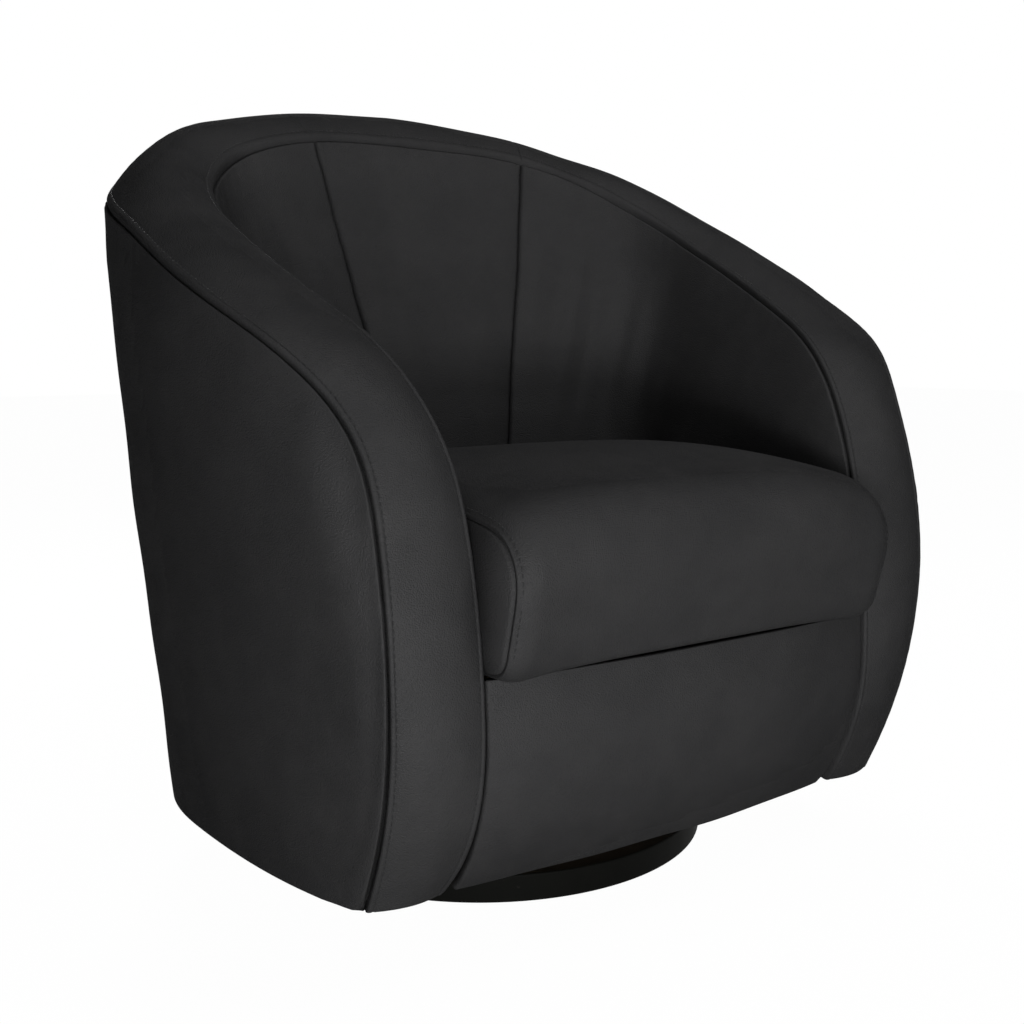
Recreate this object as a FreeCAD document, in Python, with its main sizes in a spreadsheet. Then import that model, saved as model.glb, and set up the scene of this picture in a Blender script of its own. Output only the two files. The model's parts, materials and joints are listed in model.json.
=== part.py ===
"""Swivel tub chair: an upholstered tub with a fixed back that turns on a round plinth.

Frame: millimetres, Z up, origin on the floor at the swivel axis, the sitter faces -Y.
"""
import FreeCAD, Part
import math
import os
import Sketcher

Vec = FreeCAD.Vector
UP = Vec(0, 0, 1)
doc = FreeCAD.newDocument("swivel_tub_chair")

SIZES = [
    # plinth and turntable
    ("floor_pad_radius", 236, "felt pad under the plinth"),
    ("floor_pad_thick", 1.5, "felt pad thickness"),
    ("plinth_radius", 241, "round wooden plinth"),
    ("plinth_thick", 27.5, "height of the plinth's wall"),
    ("plinth_round", 2, "rounding of the plinth's edges"),
    ("plate_side", 300, "square turntable plates"),
    ("plate_thick", 3, "sheet thickness of the plates"),
    ("race_radius", 110, "pitch radius of the balls"),
    ("race_width", 20, "width of the race ring on each plate"),
    ("race_rise", 3, "height of the race ring on each plate"),
    ("ball_radius", 4, "steel balls"),
    ("ball_count", 24, "number of balls"),
    ("ball_play", 0.06, "clearance of a ball in its groove and pocket"),
    ("cage_thick", 2.6, "thickness of the ball cage"),
    ("cage_width", 15, "width of the ball cage"),
    ("race_gap", 4, "gap between the two race rings"),
    ("bolt_radius", 8, "pivot bolt shank"),
    ("bolt_play", 0.06, "running clearance round the pivot bolt"),
    ("bolt_head_radius", 15, "pivot bolt head"),
    ("bolt_head_thick", 9, "pivot bolt head"),
    ("bolt_head_play", 1, "recess round the bolt head"),
    ("bolt_beyond", 2, "pivot bolt beyond its nut"),
    ("washer_radius", 18, "washer over the upper plate"),
    ("washer_thick", 2.5, "washer over the upper plate"),
    ("nut_width", 24, "lock nut across the flats"),
    ("nut_thick", 11, "lock nut height"),
    ("screw_radius", 2.5, "screw shank"),
    ("screw_head_radius", 5, "screw head"),
    ("screw_head_thick", 2.8, "screw head"),
    ("screw_depth", 17, "screw length in the plinth"),
    ("screw_short", 5, "upper screws' ends below the mount board's top"),
    ("screw_circle", 175, "circle of the plate's corner holes"),
    ("hole_play", 0.1, "clearance of a screw in its hole"),
    # boards and rails of the frame
    ("mount_side", 320, "square board over the upper plate"),
    ("mount_thick", 25, "square board over the upper plate"),
    ("mount_bore", 30, "radius of the hole round the lock nut"),
    ("dust_thick", 1.2, "dust cover cloth"),
    ("board_thick", 18, "base board plywood"),
    ("board_inset", 18, "base board inside the cover's face"),
    ("board_side_gap", 6, "further gap at the base board's front corners"),
    ("dust_spread", 2, "dust cover beyond the base board's edge"),
    ("slip", 0.3, "gap between neighbouring pieces"),
    ("frame_inset", 12, "front board thickness"),
    ("rail_height", 45, "seat rails"),
    ("rail_thick", 28, "seat rails"),
    ("rail_top", 250, "upper face of the seat rails"),
    ("rail_half_span", 283, "half length of the front and rear seat rails"),
    ("rail_front", -268, "front face of the front seat rail"),
    ("rail_rear", 123, "rear face of the rear seat rail"),
    ("block_leg", 42, "legs of the triangular glue blocks"),
    ("block_inset", 5, "glue blocks inside the rails' height, above and below"),
    ("arm_panel_thick", 15, "leaning plywood arm panel"),
    ("arm_panel_foot", 290, "inner face of the arm panel at its foot"),
    ("arm_panel_lean", 4.9, "lean of the arm panel in degrees"),
    ("arm_panel_drop", 62, "arm panel edge below the arm's profile"),
    ("arm_panel_rear", 60, "rear edge of the arm panel"),
    ("arm_panel_nose", 20, "further drop of the arm panel at its front"),
    ("rear_post_reach", 215, "inner face of the rear posts"),
    ("rear_post_front", 132, "front face of the rear posts"),
    ("rear_post_wide", 25, "rear posts"),
    ("rear_post_deep", 28, "rear posts"),
    ("rear_post_top", 630, "top of the rear posts"),
    ("back_post_reach", 80, "inner face of the back posts"),
    ("back_post_front", 178, "front face of the back posts"),
    ("back_post_side", 24, "square section of the back posts"),
    ("back_rail_height", 690, "underside of the curved top rail"),
    ("back_rail_radius", 640, "outer radius of the curved rails"),
    ("back_rail_wide", 40, "width of the curved rails"),
    ("back_rail_reach", 211, "rear face of the curved top rail"),
    ("back_rail_half", 185, "half length of the curved top rail"),
    ("lumbar_height", 430, "underside of the lumbar rail"),
    ("lumbar_reach", 172, "rear face of the lumbar rail"),
    ("spring_count", 4, "sinuous springs"),
    ("spring_pitch", 96, "distance between springs"),
    ("spring_wire", 2, "radius of the spring wire"),
    ("spring_loops", 11, "bends in each spring"),
    ("spring_swing", 22, "half width of a spring"),
    ("spring_end", 6, "spring ends inside the rails' outer faces"),
    ("spring_lead", 10, "straight run of a spring beyond its clip"),
    ("clip_wide", 14, "spring clips"),
    ("clip_long", 16, "spring clips"),
    ("clip_high", 7, "spring clips"),
    ("clip_bore_spare", 1, "bore beyond each end of a clip"),
    ("deck_thick", 5, "felt deck over the springs"),
    ("deck_half", 200, "half width of the deck"),
    ("deck_gap", 10, "deck's rear edge ahead of the cushion's"),
    # covers: the outer wall in plan
    ("hem_height", 71, "lower edge of the covers"),
    ("hem_half_width", 351, "half width of the outer cover at the hem"),
    ("top_half_width", 405, "half width of the outer cover near the arm tops"),
    ("top_level", 700, "level of the upper half width"),
    ("side_bulge", 5, "convexity of the side in its height"),
    ("hem_back", 248, "rear of the outer cover at the hem"),
    ("top_back", 268, "rear of the outer cover at the top"),
    ("wall_centre", -30, "place along Y of the greatest width"),
    ("wall_side_radius", 960, "plan radius of the side forward of that place"),
    ("wall_bend_radius", 270, "plan radius of the rear corners"),
    ("wall_corner_radius", 54, "plan radius of the arm front corners"),
    ("corner_proud_low", 2, "arm front ahead of the inner seam at the hem"),
    ("corner_proud_high", 12, "arm front ahead of the inner seam higher up"),
    ("corner_proud_rise", 230, "rise from the hem over which it grows"),
    ("cover_thick", 10, "padded outer cover"),
    ("back_seam_half", 178, "half distance of the two seams on the back"),
    # inner seam of the rim band, seen from the side
    ("inner_front", -339, "front of the inner seam"),
    ("inner_bulge", 210, "height of its front point"),
    ("inner_low_radius", 211, "arc below the front point"),
    ("inner_front_radius", 732, "arc above the front point"),
    ("inner_knee", 407, "start of the arm's knee"),
    ("inner_knee_radius", 235, "arc of the arm's knee"),
    ("inner_slope", 0.491, "rise of the arm towards the back"),
    # outer seam of the rim band, seen from the side
    ("outer_front", -336, "front of the outer seam"),
    ("outer_bulge", 290, "height of its front point"),
    ("outer_low_radius", 420, "arc below the front point"),
    ("outer_front_radius", 400, "arc above the front point"),
    ("outer_knee", 445, "start of the arm's knee"),
    ("outer_knee_radius", 217, "arc of the arm's knee"),
    ("outer_slope", 0.46, "rise of the arm towards the back"),
    ("arm_end", -3, "place along Y where the bend of the back begins"),
    # plan of the two seams
    ("inner_half_width", 292, "half width between the arms at the rim"),
    ("inner_front_half", 228, "half width between the arm fronts"),
    ("inner_back_depth", 152, "depth of the bend of the inner seam"),
    ("inner_bend_radius", 125, "corner radius of that bend"),
    ("inner_taper", 6.67e-4, "narrowing towards the arm fronts per square millimetre"),
    ("inner_ease", 4, "rounding where that narrowing ends"),
    ("outer_front_half", 316, "outer seam on the arm fronts"),
    ("outer_hem_half", 306, "outer seam at the hem"),
    ("outer_widen_rise", 150, "rise from the hem over which it widens"),
    ("outer_flare", 0.72, "outer seam's spread per millimetre of rise at the knee"),
    ("outer_flare_start", 472, "height where that spread begins"),
    ("outer_flare_ease", 12, "rounding where it begins"),
    ("outer_wall_ease", 5, "rounding where the outer seam meets the wall"),
    ("rim_height", 757, "inner seam at the middle of the back"),
    ("rim_level_part", 0.66, "part of the bend where the rim eases into level"),
    ("outer_drop", 13, "outer seam below the inner one round the back"),
    ("outer_drop_part", 0.4, "part of the bend over which it drops"),
    ("outer_catch_part", 0.25, "part of the bend over which it meets the wall's plan"),
    # crown of the rim band over the chord between its seams
    ("crown_hem", 7, "at the hem"),
    ("crown_front", 10, "on the arm front"),
    ("crown_knee", 7, "after the knee"),
    ("crown_arm", 24, "at the rear of the arm"),
    ("crown_shoulder", 50, "in the bend"),
    ("crown_back", 42, "at the middle of the back"),
    ("band_edge", 6, "thickness of the band along its seams"),
    ("band_clear", 8, "top edge of the covers below the seam"),
    ("cross_seam", 0.59, "cross seam's place along the bend"),
    # inner padding of the tub
    ("tub_foot", 264, "lower edge of the inner panels"),
    ("tub_seat_level", 409, "level where the cushion meets the panels"),
    ("tub_rim_level", 600, "level where the arms reach their width"),
    ("tub_foot_half", 227, "half width at the lower edge"),
    ("tub_seat_half", 242, "half width at the cushion's top"),
    ("tub_rim_half", 286, "half width at the rim level"),
    ("tub_top_half", 294, "half width at the top of the back"),
    ("tub_foot_back", 45, "rear at the lower edge"),
    ("tub_seat_back", 72, "rear at the cushion's top"),
    ("tub_top_back", 148, "rear at the top of the back"),
    ("tub_side_radius", 3000, "plan radius of the arms' inner faces above the cushion"),
    ("tub_pad_thick", 14, "thickness of the inner padding"),
    ("liner_thick", 3, "hardboard liner behind the padding"),
    ("back_panel_top", 138, "half width of the back panel at the rim"),
    ("back_panel_seat", 80, "half width of the back panel at the cushion"),
    ("tub_front", -350, "front ends of the inner panels"),
    # apron and seat cushion
    ("apron_half", 225, "half width of the apron"),
    ("apron_top", 265.5, "upper edge of the apron"),
    ("apron_thick", 12, "thickness of the apron"),
    ("apron_bow", 14, "apron's middle ahead of its ends"),
    ("apron_lift", 1, "apron's lower edge above the hem"),
    ("cushion_half", 222, "half width of the cushion at its side seams"),
    ("cushion_foot", 267, "underside of the cushion"),
    ("cushion_crown", 433, "top of the cushion at its middle"),
    ("cushion_side_top", 389, "top of the cushion at its side seams"),
    ("cushion_front", -376, "front of the cushion at its middle"),
    ("cushion_side_front", -369, "front of the cushion at its side seams"),
    ("cushion_foot_front", -352, "front of the underside"),
    ("cushion_rear", 36, "rear of the cushion"),
    ("cushion_rear_lean", 24, "rear of the cushion's top behind its underside"),
    ("cushion_rear_corner", 70, "drawing-in of the rear corners"),
    ("cushion_nose_part", 0.42, "front point's height as a part of the section's"),
    ("cushion_shoulder_back", 46, "front shoulder behind the front"),
    ("cushion_shoulder_drop", 16, "front shoulder below the crest"),
    ("cushion_crest_back", 190, "crest behind the front"),
    ("cushion_heel_drop", 20, "rear edge of the top below the crest"),
    ("foam_half", 190, "half width of the foam block"),
    ("foam_front", -322, "front of the foam block"),
    ("foam_rear", -48, "rear of the foam block"),
    ("foam_height", 88, "height of the foam block"),
    ("foam_slack", 0.8, "gap between the foam block and the cover"),
]

sheet = doc.addObject("Spreadsheet::Sheet", "Sizes")
for row, (alias, value, meaning) in enumerate(SIZES, start=1):
    sheet.set(f"A{row}", meaning)
    sheet.set(f"B{row}", str(value))
    sheet.setAlias(f"B{row}", alias)
doc.recompute()


def size(alias):
    """Value of a cell of the sheet."""
    return float(sheet.get(alias))


# Levels of the turntable, each worked out from the thicknesses under it
PLINTH_FOOT = "Sizes.floor_pad_thick"
PLINTH_TOP = PLINTH_FOOT + " + Sizes.plinth_thick"
LOWER_RACE = PLINTH_TOP + " + Sizes.plate_thick"
CAGE_FOOT = LOWER_RACE + " + Sizes.race_rise + (Sizes.race_gap - Sizes.cage_thick) / 2"
UPPER_RACE = LOWER_RACE + " + Sizes.race_rise + Sizes.race_gap"
UPPER_PLATE = UPPER_RACE + " + Sizes.race_rise"
UPPER_TOP = UPPER_PLATE + " + Sizes.plate_thick"

plinth_top = size("floor_pad_thick") + size("plinth_thick")
lower_race = plinth_top + size("plate_thick")
ball_level = lower_race + size("race_rise") + size("race_gap") / 2
upper_plate = lower_race + 2 * size("race_rise") + size("race_gap")
upper_top = upper_plate + size("plate_thick")
mount_top = upper_top + size("mount_thick")
dust_foot = mount_top + size("slip")
board_foot = dust_foot + size("dust_thick") + size("slip")
board_top = board_foot + size("board_thick")
frame_foot = board_top + size("slip")
rail_foot = size("rail_top") - size("rail_height")


def new_body(label):
    """Empty PartDesign body with its label."""
    body = doc.addObject("PartDesign::Body", label)
    body.Label = label
    return body


def new_sketch(body, name, role="XY_Plane", height=None):
    """Sketch on one of the body's own origin planes, lifted to a height from the sheet."""
    sketch = body.newObject("Sketcher::SketchObject", name)
    plane = next(item for item in body.Origin.OriginFeatures if item.Role == role)
    sketch.AttachmentSupport = [(plane, "")]
    sketch.MapMode = "FlatFace"
    if height:
        sketch.setExpression("AttachmentOffset.Base.z", height)
    return sketch


def bind(sketch, kind, where, name, expression):
    """Dimension of a sketch that follows an expression on the sheet."""
    index = sketch.addConstraint(Sketcher.Constraint(kind, *where, 10.0))
    sketch.renameConstraint(index, name)
    sketch.setExpression("Constraints." + name, expression)


def draw_circle(sketch, name, radius, radius_now):
    """Circle about the sketch's origin."""
    circle = sketch.addGeometry(Part.Circle(Vec(0, 0, 0), UP, radius_now))
    sketch.addConstraint(Sketcher.Constraint("Coincident", circle, 3, -1, 1))
    bind(sketch, "Radius", (circle,), name, radius)


def draw_hole(sketch, name, radius, radius_now, reach, reach_now):
    """Circle on the sketch's horizontal axis."""
    circle = sketch.addGeometry(Part.Circle(Vec(reach_now, 0, 0), UP, radius_now))
    sketch.addConstraint(Sketcher.Constraint("PointOnObject", circle, 3, -1))
    bind(sketch, "Radius", (circle,), name, radius)
    bind(sketch, "DistanceX", (-1, 1, circle, 3), name + "_reach", reach)


def draw_square(sketch, side, side_now):
    """Square about the sketch's origin."""
    half = side_now / 2
    corners = [Vec(-half, -half), Vec(half, -half), Vec(half, half), Vec(-half, half)]
    for start, end in zip(corners, corners[1:] + corners[:1]):
        sketch.addGeometry(Part.LineSegment(start, end))
    for edge in range(4):
        sketch.addConstraint(Sketcher.Constraint("Coincident", edge, 2, (edge + 1) % 4, 1))
    for edge, direction in enumerate(("Horizontal", "Vertical", "Horizontal", "Vertical")):
        sketch.addConstraint(Sketcher.Constraint(direction, edge))
    sketch.addConstraint(Sketcher.Constraint("Symmetric", 0, 1, 1, 2, -1, 1))
    bind(sketch, "DistanceX", (0, 1, 0, 2), "width", side)
    bind(sketch, "DistanceY", (1, 1, 1, 2), "depth", side)


def pad(body, sketch, name, length):
    """Pad of a sketch upwards by a length from the sheet."""
    feature = body.newObject("PartDesign::Pad", name)
    feature.Profile = sketch
    feature.setExpression("Length", length)
    return feature


def cut_through(body, sketch, name):
    """Pocket of a sketch through the whole body, both ways."""
    feature = body.newObject("PartDesign::Pocket", name)
    feature.Profile = sketch
    feature.Type = 1
    feature.Midplane = True
    return feature


def ring_of(body, feature, name, count):
    """Polar pattern of a feature about the vertical axis."""
    pattern = body.newObject("PartDesign::PolarPattern", name)
    pattern.Originals = [feature]
    axis = next(item for item in body.Origin.OriginFeatures if item.Role == "Z_Axis")
    pattern.Axis = (axis, [""])
    pattern.Angle = 360
    if isinstance(count, str):
        pattern.setExpression("Occurrences", count)
    else:
        pattern.Occurrences = count
    body.Tip = pattern
    return pattern


def solid_feature(label, shape):
    """Sub-part whose shape is computed from the sheet."""
    feature = doc.addObject("Part::Feature", label)
    feature.Label = label
    feature.Shape = shape
    feature.Placement = shape.Placement
    return feature


def box_feature(label, low, high):
    """Box between two corners, each given as three expressions on the sheet."""
    box = doc.addObject("Part::Box", label)
    box.Label = label
    for name, start, end in zip(("Length", "Width", "Height"), low, high):
        box.setExpression(name, f"({end}) - ({start})")
    for name, start in zip("xyz", low):
        box.setExpression(f"Placement.Base.{name}", start)
    return box


# Plinth and turntable

PLATE_SCREWS = 4
PLATE_CORNER_TURN = 45
SCREW_HOLE = "Sizes.screw_radius + Sizes.hole_play"
BOLT_HOLE = "Sizes.bolt_radius + Sizes.bolt_play"


def make_floor_pad():
    body = new_body("floor_pad")
    sketch = new_sketch(body, "floor_pad_plan")
    draw_circle(sketch, "radius", "Sizes.floor_pad_radius", size("floor_pad_radius"))
    pad(body, sketch, "floor_pad_sheet", "Sizes.floor_pad_thick")
    return body


def screw_holes(body, name):
    """Ring of corner holes for the plate's screws or bolts."""
    sketch = new_sketch(body, name + "_hole")
    draw_hole(sketch, "hole", SCREW_HOLE, size("screw_radius"),
              "Sizes.screw_circle", size("screw_circle"))
    doc.recompute()
    pocket = cut_through(body, sketch, name + "_pocket")
    ring_of(body, pocket, name + "_holes", PLATE_SCREWS)


def make_plinth():
    """Disc with rounded edges, a bore for the bolt, a recess for its head and screw holes."""
    body = new_body("plinth_disc")
    sketch = new_sketch(body, "plinth_plan", height=PLINTH_FOOT)
    draw_circle(sketch, "radius", "Sizes.plinth_radius", size("plinth_radius"))
    draw_circle(sketch, "bore", BOLT_HOLE, size("bolt_radius"))
    disc = pad(body, sketch, "plinth_pad", "Sizes.plinth_thick")
    doc.recompute()
    rims = [f"Edge{number}" for number, edge in enumerate(disc.Shape.Edges, start=1)
            if len(edge.Vertexes) == 1 and edge.Curve.Radius > size("plinth_radius") - 1]
    rounding = body.newObject("PartDesign::Fillet", "plinth_rounding")
    rounding.Base = (disc, rims)
    rounding.setExpression("Radius", "Sizes.plinth_round")
    doc.recompute()
    recess_plan = new_sketch(body, "recess_plan", height=PLINTH_FOOT)
    draw_circle(recess_plan, "radius", "Sizes.bolt_head_radius + Sizes.bolt_head_play",
                size("bolt_head_radius"))
    recess = body.newObject("PartDesign::Pocket", "recess")
    recess.Profile = recess_plan
    recess.setExpression("Length", "Sizes.bolt_head_thick + Sizes.slip")
    recess.Reversed = True
    doc.recompute()
    screw_holes(body, "plinth")
    body.setExpression("Placement.Rotation.Angle", str(PLATE_CORNER_TURN))
    return body


def make_plate(label, plate_foot, race_foot):
    """Square plate with a race ring, its ball groove, a bore and corner holes."""
    body = new_body(label)
    square = new_sketch(body, label + "_plan", height=plate_foot)
    draw_square(square, "Sizes.plate_side", size("plate_side"))
    pad(body, square, label + "_sheet", "Sizes.plate_thick")
    ring = new_sketch(body, label + "_ring", height=race_foot)
    draw_circle(ring, "outside", "Sizes.race_radius + Sizes.race_width / 2",
                size("race_radius") + size("race_width") / 2)
    draw_circle(ring, "inside", "Sizes.race_radius - Sizes.race_width / 2",
                size("race_radius") - size("race_width") / 2)
    pad(body, ring, label + "_race", "Sizes.race_rise")
    doc.recompute()
    section = new_sketch(body, label + "_groove_section", role="XZ_Plane")
    groove_now = Vec(size("race_radius"), ball_level)
    circle = section.addGeometry(Part.Circle(groove_now, UP, size("ball_radius")))
    bind(section, "Radius", (circle,), "groove", "Sizes.ball_radius + Sizes.ball_play")
    bind(section, "DistanceX", (-1, 1, circle, 3), "pitch", "Sizes.race_radius")
    bind(section, "DistanceY", (-1, 1, circle, 3), "level", LOWER_RACE
         + " + Sizes.race_rise + Sizes.race_gap / 2")
    groove = body.newObject("PartDesign::Groove", label + "_groove")
    groove.Profile = section
    groove.ReferenceAxis = (section, ["V_Axis"])
    groove.Angle = 360
    doc.recompute()
    bore = new_sketch(body, label + "_bore")
    draw_circle(bore, "bore", BOLT_HOLE, size("bolt_radius"))
    doc.recompute()
    cut_through(body, bore, label + "_bore_pocket")
    doc.recompute()
    corner = new_sketch(body, label + "_corner")
    reach = f"Sizes.screw_circle * {math.cos(math.radians(PLATE_CORNER_TURN))}"
    circle = corner.addGeometry(Part.Circle(Vec(100, 100, 0), UP, size("screw_radius")))
    bind(corner, "Radius", (circle,), "hole", SCREW_HOLE)
    bind(corner, "DistanceX", (-1, 1, circle, 3), "across", reach)
    bind(corner, "DistanceY", (-1, 1, circle, 3), "along", reach)
    doc.recompute()
    pocket = cut_through(body, corner, label + "_corner_pocket")
    ring_of(body, pocket, label + "_corners", PLATE_SCREWS)
    return body


def make_ball_cage():
    """Flat ring with a pocket for every ball."""
    body = new_body("ball_cage")
    plan = new_sketch(body, "cage_plan", height=CAGE_FOOT)
    draw_circle(plan, "outside", "Sizes.race_radius + Sizes.cage_width / 2",
                size("race_radius") + size("cage_width") / 2)
    draw_circle(plan, "inside", "Sizes.race_radius - Sizes.cage_width / 2",
                size("race_radius") - size("cage_width") / 2)
    pad(body, plan, "cage_ring", "Sizes.cage_thick")
    doc.recompute()
    hole = new_sketch(body, "cage_hole")
    draw_hole(hole, "pocket", "Sizes.ball_radius + Sizes.ball_play", size("ball_radius"),
              "Sizes.race_radius", size("race_radius"))
    doc.recompute()
    pocket = cut_through(body, hole, "cage_pocket")
    ring_of(body, pocket, "cage_pockets", "Sizes.ball_count")
    return body


def around(reach, level, count, first_turn=0.0):
    """Points spaced evenly on a circle about the swivel axis."""
    turns = [math.radians(first_turn + 360.0 * step / count) for step in range(count)]
    return [Vec(reach * math.cos(turn), reach * math.sin(turn), level) for turn in turns]


def make_balls():
    centres = around(size("race_radius"), ball_level, int(size("ball_count")))
    return solid_feature("bearing_balls", Part.makeCompound(
        [Part.makeSphere(size("ball_radius"), centre) for centre in centres]))


def pan_screw(point, length, head_up):
    """Shank with a round head at one end, along Z, the head bearing at the point."""
    sense = 1 if head_up else -1
    shank = Part.makeCylinder(size("screw_radius"), length, point, UP * -sense)
    head = Part.makeCylinder(size("screw_head_radius"), size("screw_head_thick"), point, UP * sense)
    return shank.fuse(head).removeSplitter()


def hexagon(width, level, height, bore):
    """Hexagonal nut about the swivel axis."""
    reach = width / math.sqrt(3)
    corners = around(reach, level, 6)
    prism = Part.Face(Part.makePolygon(corners + corners[:1])).extrude(UP * height)
    return prism.cut(Part.makeCylinder(bore, height, Vec(0, 0, level)))


def make_fasteners():
    lower = around(size("screw_circle"), lower_race, PLATE_SCREWS, PLATE_CORNER_TURN)
    upper = around(size("screw_circle"), upper_plate, PLATE_SCREWS, PLATE_CORNER_TURN)
    upper_length = size("plate_thick") + size("mount_thick") - size("screw_short")
    bolt_foot = size("floor_pad_thick") + size("bolt_head_thick") + size("slip") / 2
    washer_foot = upper_top + size("slip")
    nut_foot = washer_foot + size("washer_thick")
    shank_top = nut_foot + size("nut_thick") + size("bolt_beyond")
    shank = Part.makeCylinder(size("bolt_radius"), shank_top - bolt_foot, Vec(0, 0, bolt_foot))
    head_foot = Vec(0, 0, bolt_foot - size("bolt_head_thick"))
    head = Part.makeCylinder(size("bolt_head_radius"), size("bolt_head_thick"), head_foot)
    bore = size("bolt_radius") + size("bolt_play")
    washer = Part.makeCylinder(size("washer_radius"), size("washer_thick"), Vec(0, 0, washer_foot))
    washer_bore = Part.makeCylinder(bore, size("washer_thick"), Vec(0, 0, washer_foot))
    return [
        solid_feature("lower_plate_screws", Part.makeCompound(
            [pan_screw(point, size("screw_depth"), True) for point in lower])),
        solid_feature("upper_plate_screws", Part.makeCompound(
            [pan_screw(point, upper_length, False) for point in upper])),
        solid_feature("pivot_bolt", shank.fuse(head).removeSplitter()),
        solid_feature("pivot_washer", washer.cut(washer_bore)),
        solid_feature("pivot_lock_nut", hexagon(size("nut_width"), nut_foot, size("nut_thick"), bore)),
    ]


def make_mount_board():
    """Square plywood board over the upper plate, open round the lock nut."""
    body = new_body("mount_board")
    square = new_sketch(body, "mount_plan", height=UPPER_TOP)
    draw_square(square, "Sizes.mount_side", size("mount_side"))
    draw_circle(square, "bore", "Sizes.mount_bore", size("mount_bore"))
    pad(body, square, "mount_sheet", "Sizes.mount_thick")
    doc.recompute()
    corner = new_sketch(body, "mount_corner")
    reach = f"Sizes.screw_circle * {math.cos(math.radians(PLATE_CORNER_TURN))}"
    circle = corner.addGeometry(Part.Circle(Vec(100, 100, 0), UP, size("screw_radius")))
    bind(corner, "Radius", (circle,), "hole", SCREW_HOLE)
    bind(corner, "DistanceX", (-1, 1, circle, 3), "across", reach)
    bind(corner, "DistanceY", (-1, 1, circle, 3), "along", reach)
    doc.recompute()
    pocket = cut_through(body, corner, "mount_corner_pocket")
    ring_of(body, pocket, "mount_corners", PLATE_SCREWS)
    return body


# Side profile of the arms and plan of the walls

def ease(part):
    """Smooth step from 0 to 1."""
    part = min(max(part, 0.0), 1.0)
    return part * part * (3 - 2 * part)


def soft_ramp(value, width):
    """Zero below, the value itself above, rounded over the width."""
    return width * math.log1p(math.exp(value / width))


class ArmProfile:
    """Side view of a seam: low arc, front arc, knee arc and a straight slope, all tangent."""

    def __init__(self, seam):
        self.front = size(seam + "_front")
        self.bulge = size(seam + "_bulge")
        self.low_radius = size(seam + "_low_radius")
        self.front_radius = size(seam + "_front_radius")
        self.knee = size(seam + "_knee")
        self.knee_radius = size(seam + "_knee_radius")
        self.slope = size(seam + "_slope")
        self.low_turn = -math.asin((self.bulge - size("hem_height")) / self.low_radius)
        self.knee_turn = math.asin((self.knee - self.bulge) / self.front_radius)
        self.slope_turn = math.pi / 2 - math.atan(self.slope)
        start = self.turned(self.front_radius, self.knee_turn)
        self.knee_centre = (start[0] + self.knee_radius * math.cos(self.knee_turn),
                            start[1] - self.knee_radius * math.sin(self.knee_turn))

    def turned(self, radius, turn, inset=0.0):
        """Point of the low or front arc, both of which leave the front point upright."""
        return (self.front + radius - (radius - inset) * math.cos(turn),
                self.bulge + (radius - inset) * math.sin(turn))

    def knee_point(self, turn, inset=0.0):
        reach = self.knee_radius - inset
        return (self.knee_centre[0] - reach * math.cos(turn),
                self.knee_centre[1] + reach * math.sin(turn))

    def slope_point(self, part, inset=0.0):
        start = self.knee_point(self.slope_turn, inset)
        along = size("arm_end") - self.knee_point(self.slope_turn)[0]
        return start[0] + part * along, start[1] + part * along * self.slope

    def at(self, stretch, part):
        """Point of one of the four stretches: 0 low arc, 1 front arc, 2 knee, 3 slope."""
        if stretch == 0:
            return self.turned(self.low_radius, self.low_turn * (1 - part))
        if stretch == 1:
            return self.turned(self.front_radius, self.knee_turn * part)
        if stretch == 2:
            return self.knee_point(self.knee_turn + (self.slope_turn - self.knee_turn) * part)
        return self.slope_point(part)

    def front_at(self, level):
        """Place along Y of the front at a level, upright above the knee's start."""
        rise = min(level, self.knee) - self.bulge
        radius = self.front_radius if rise > 0 else self.low_radius
        return self.front + radius - math.sqrt(radius ** 2 - rise ** 2)


inner_profile = ArmProfile("inner")
outer_profile = ArmProfile("outer")


class Oval:
    """Half oval behind a centre: corner arc and back arc that meet in a tangent."""

    def __init__(self, half, depth, corner, centre):
        self.half = half
        self.depth = depth
        self.corner = corner
        self.centre = centre
        self.back = ((half - corner) ** 2 + depth ** 2 - corner ** 2) / (2 * (depth - corner))
        self.meet = math.pi / 2 - math.atan2(half - corner, self.back - depth)
        self.corner_length = corner * self.meet
        self.length = self.corner_length + self.back * (math.pi / 2 - self.meet)

    def turn_at(self, distance):
        """Direction of the outward normal at a distance along the right half."""
        if distance < self.corner_length:
            return distance / self.corner
        return self.meet + (distance - self.corner_length) / self.back

    def point(self, turn, grow=0.0):
        """Plan point with that outward normal, on the oval grown outwards."""
        if turn <= self.meet:
            return ((self.half - self.corner) + (self.corner + grow) * math.cos(turn),
                    self.centre + (self.corner + grow) * math.sin(turn))
        return ((self.back + grow) * math.cos(turn),
                self.centre + self.depth - self.back + (self.back + grow) * math.sin(turn))


rim_oval = Oval(size("inner_half_width"), size("inner_back_depth"),
                size("inner_bend_radius"), size("arm_end"))


def wall_half(level):
    """Half width of the outer wall at a level: a lean and a slight bulge."""
    part = (level - size("hem_height")) / (size("top_level") - size("hem_height"))
    lean = size("hem_half_width") + (size("top_half_width") - size("hem_half_width")) * part
    return lean + size("side_bulge") * math.sin(math.pi * min(max(part, 0.0), 1.0))


def wall_oval(level):
    part = (level - size("hem_height")) / (size("rim_height") - size("hem_height"))
    back = size("hem_back") + (size("top_back") - size("hem_back")) * part
    centre = size("wall_centre")
    return Oval(wall_half(level), back - centre, size("wall_bend_radius"), centre)


def wall_side(place, level):
    """Half width of the wall forward of its greatest width."""
    ahead = max(size("wall_centre") - place, 0.0)
    radius = size("wall_side_radius")
    return wall_half(level) - radius + math.sqrt(radius ** 2 - ahead ** 2)


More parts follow.
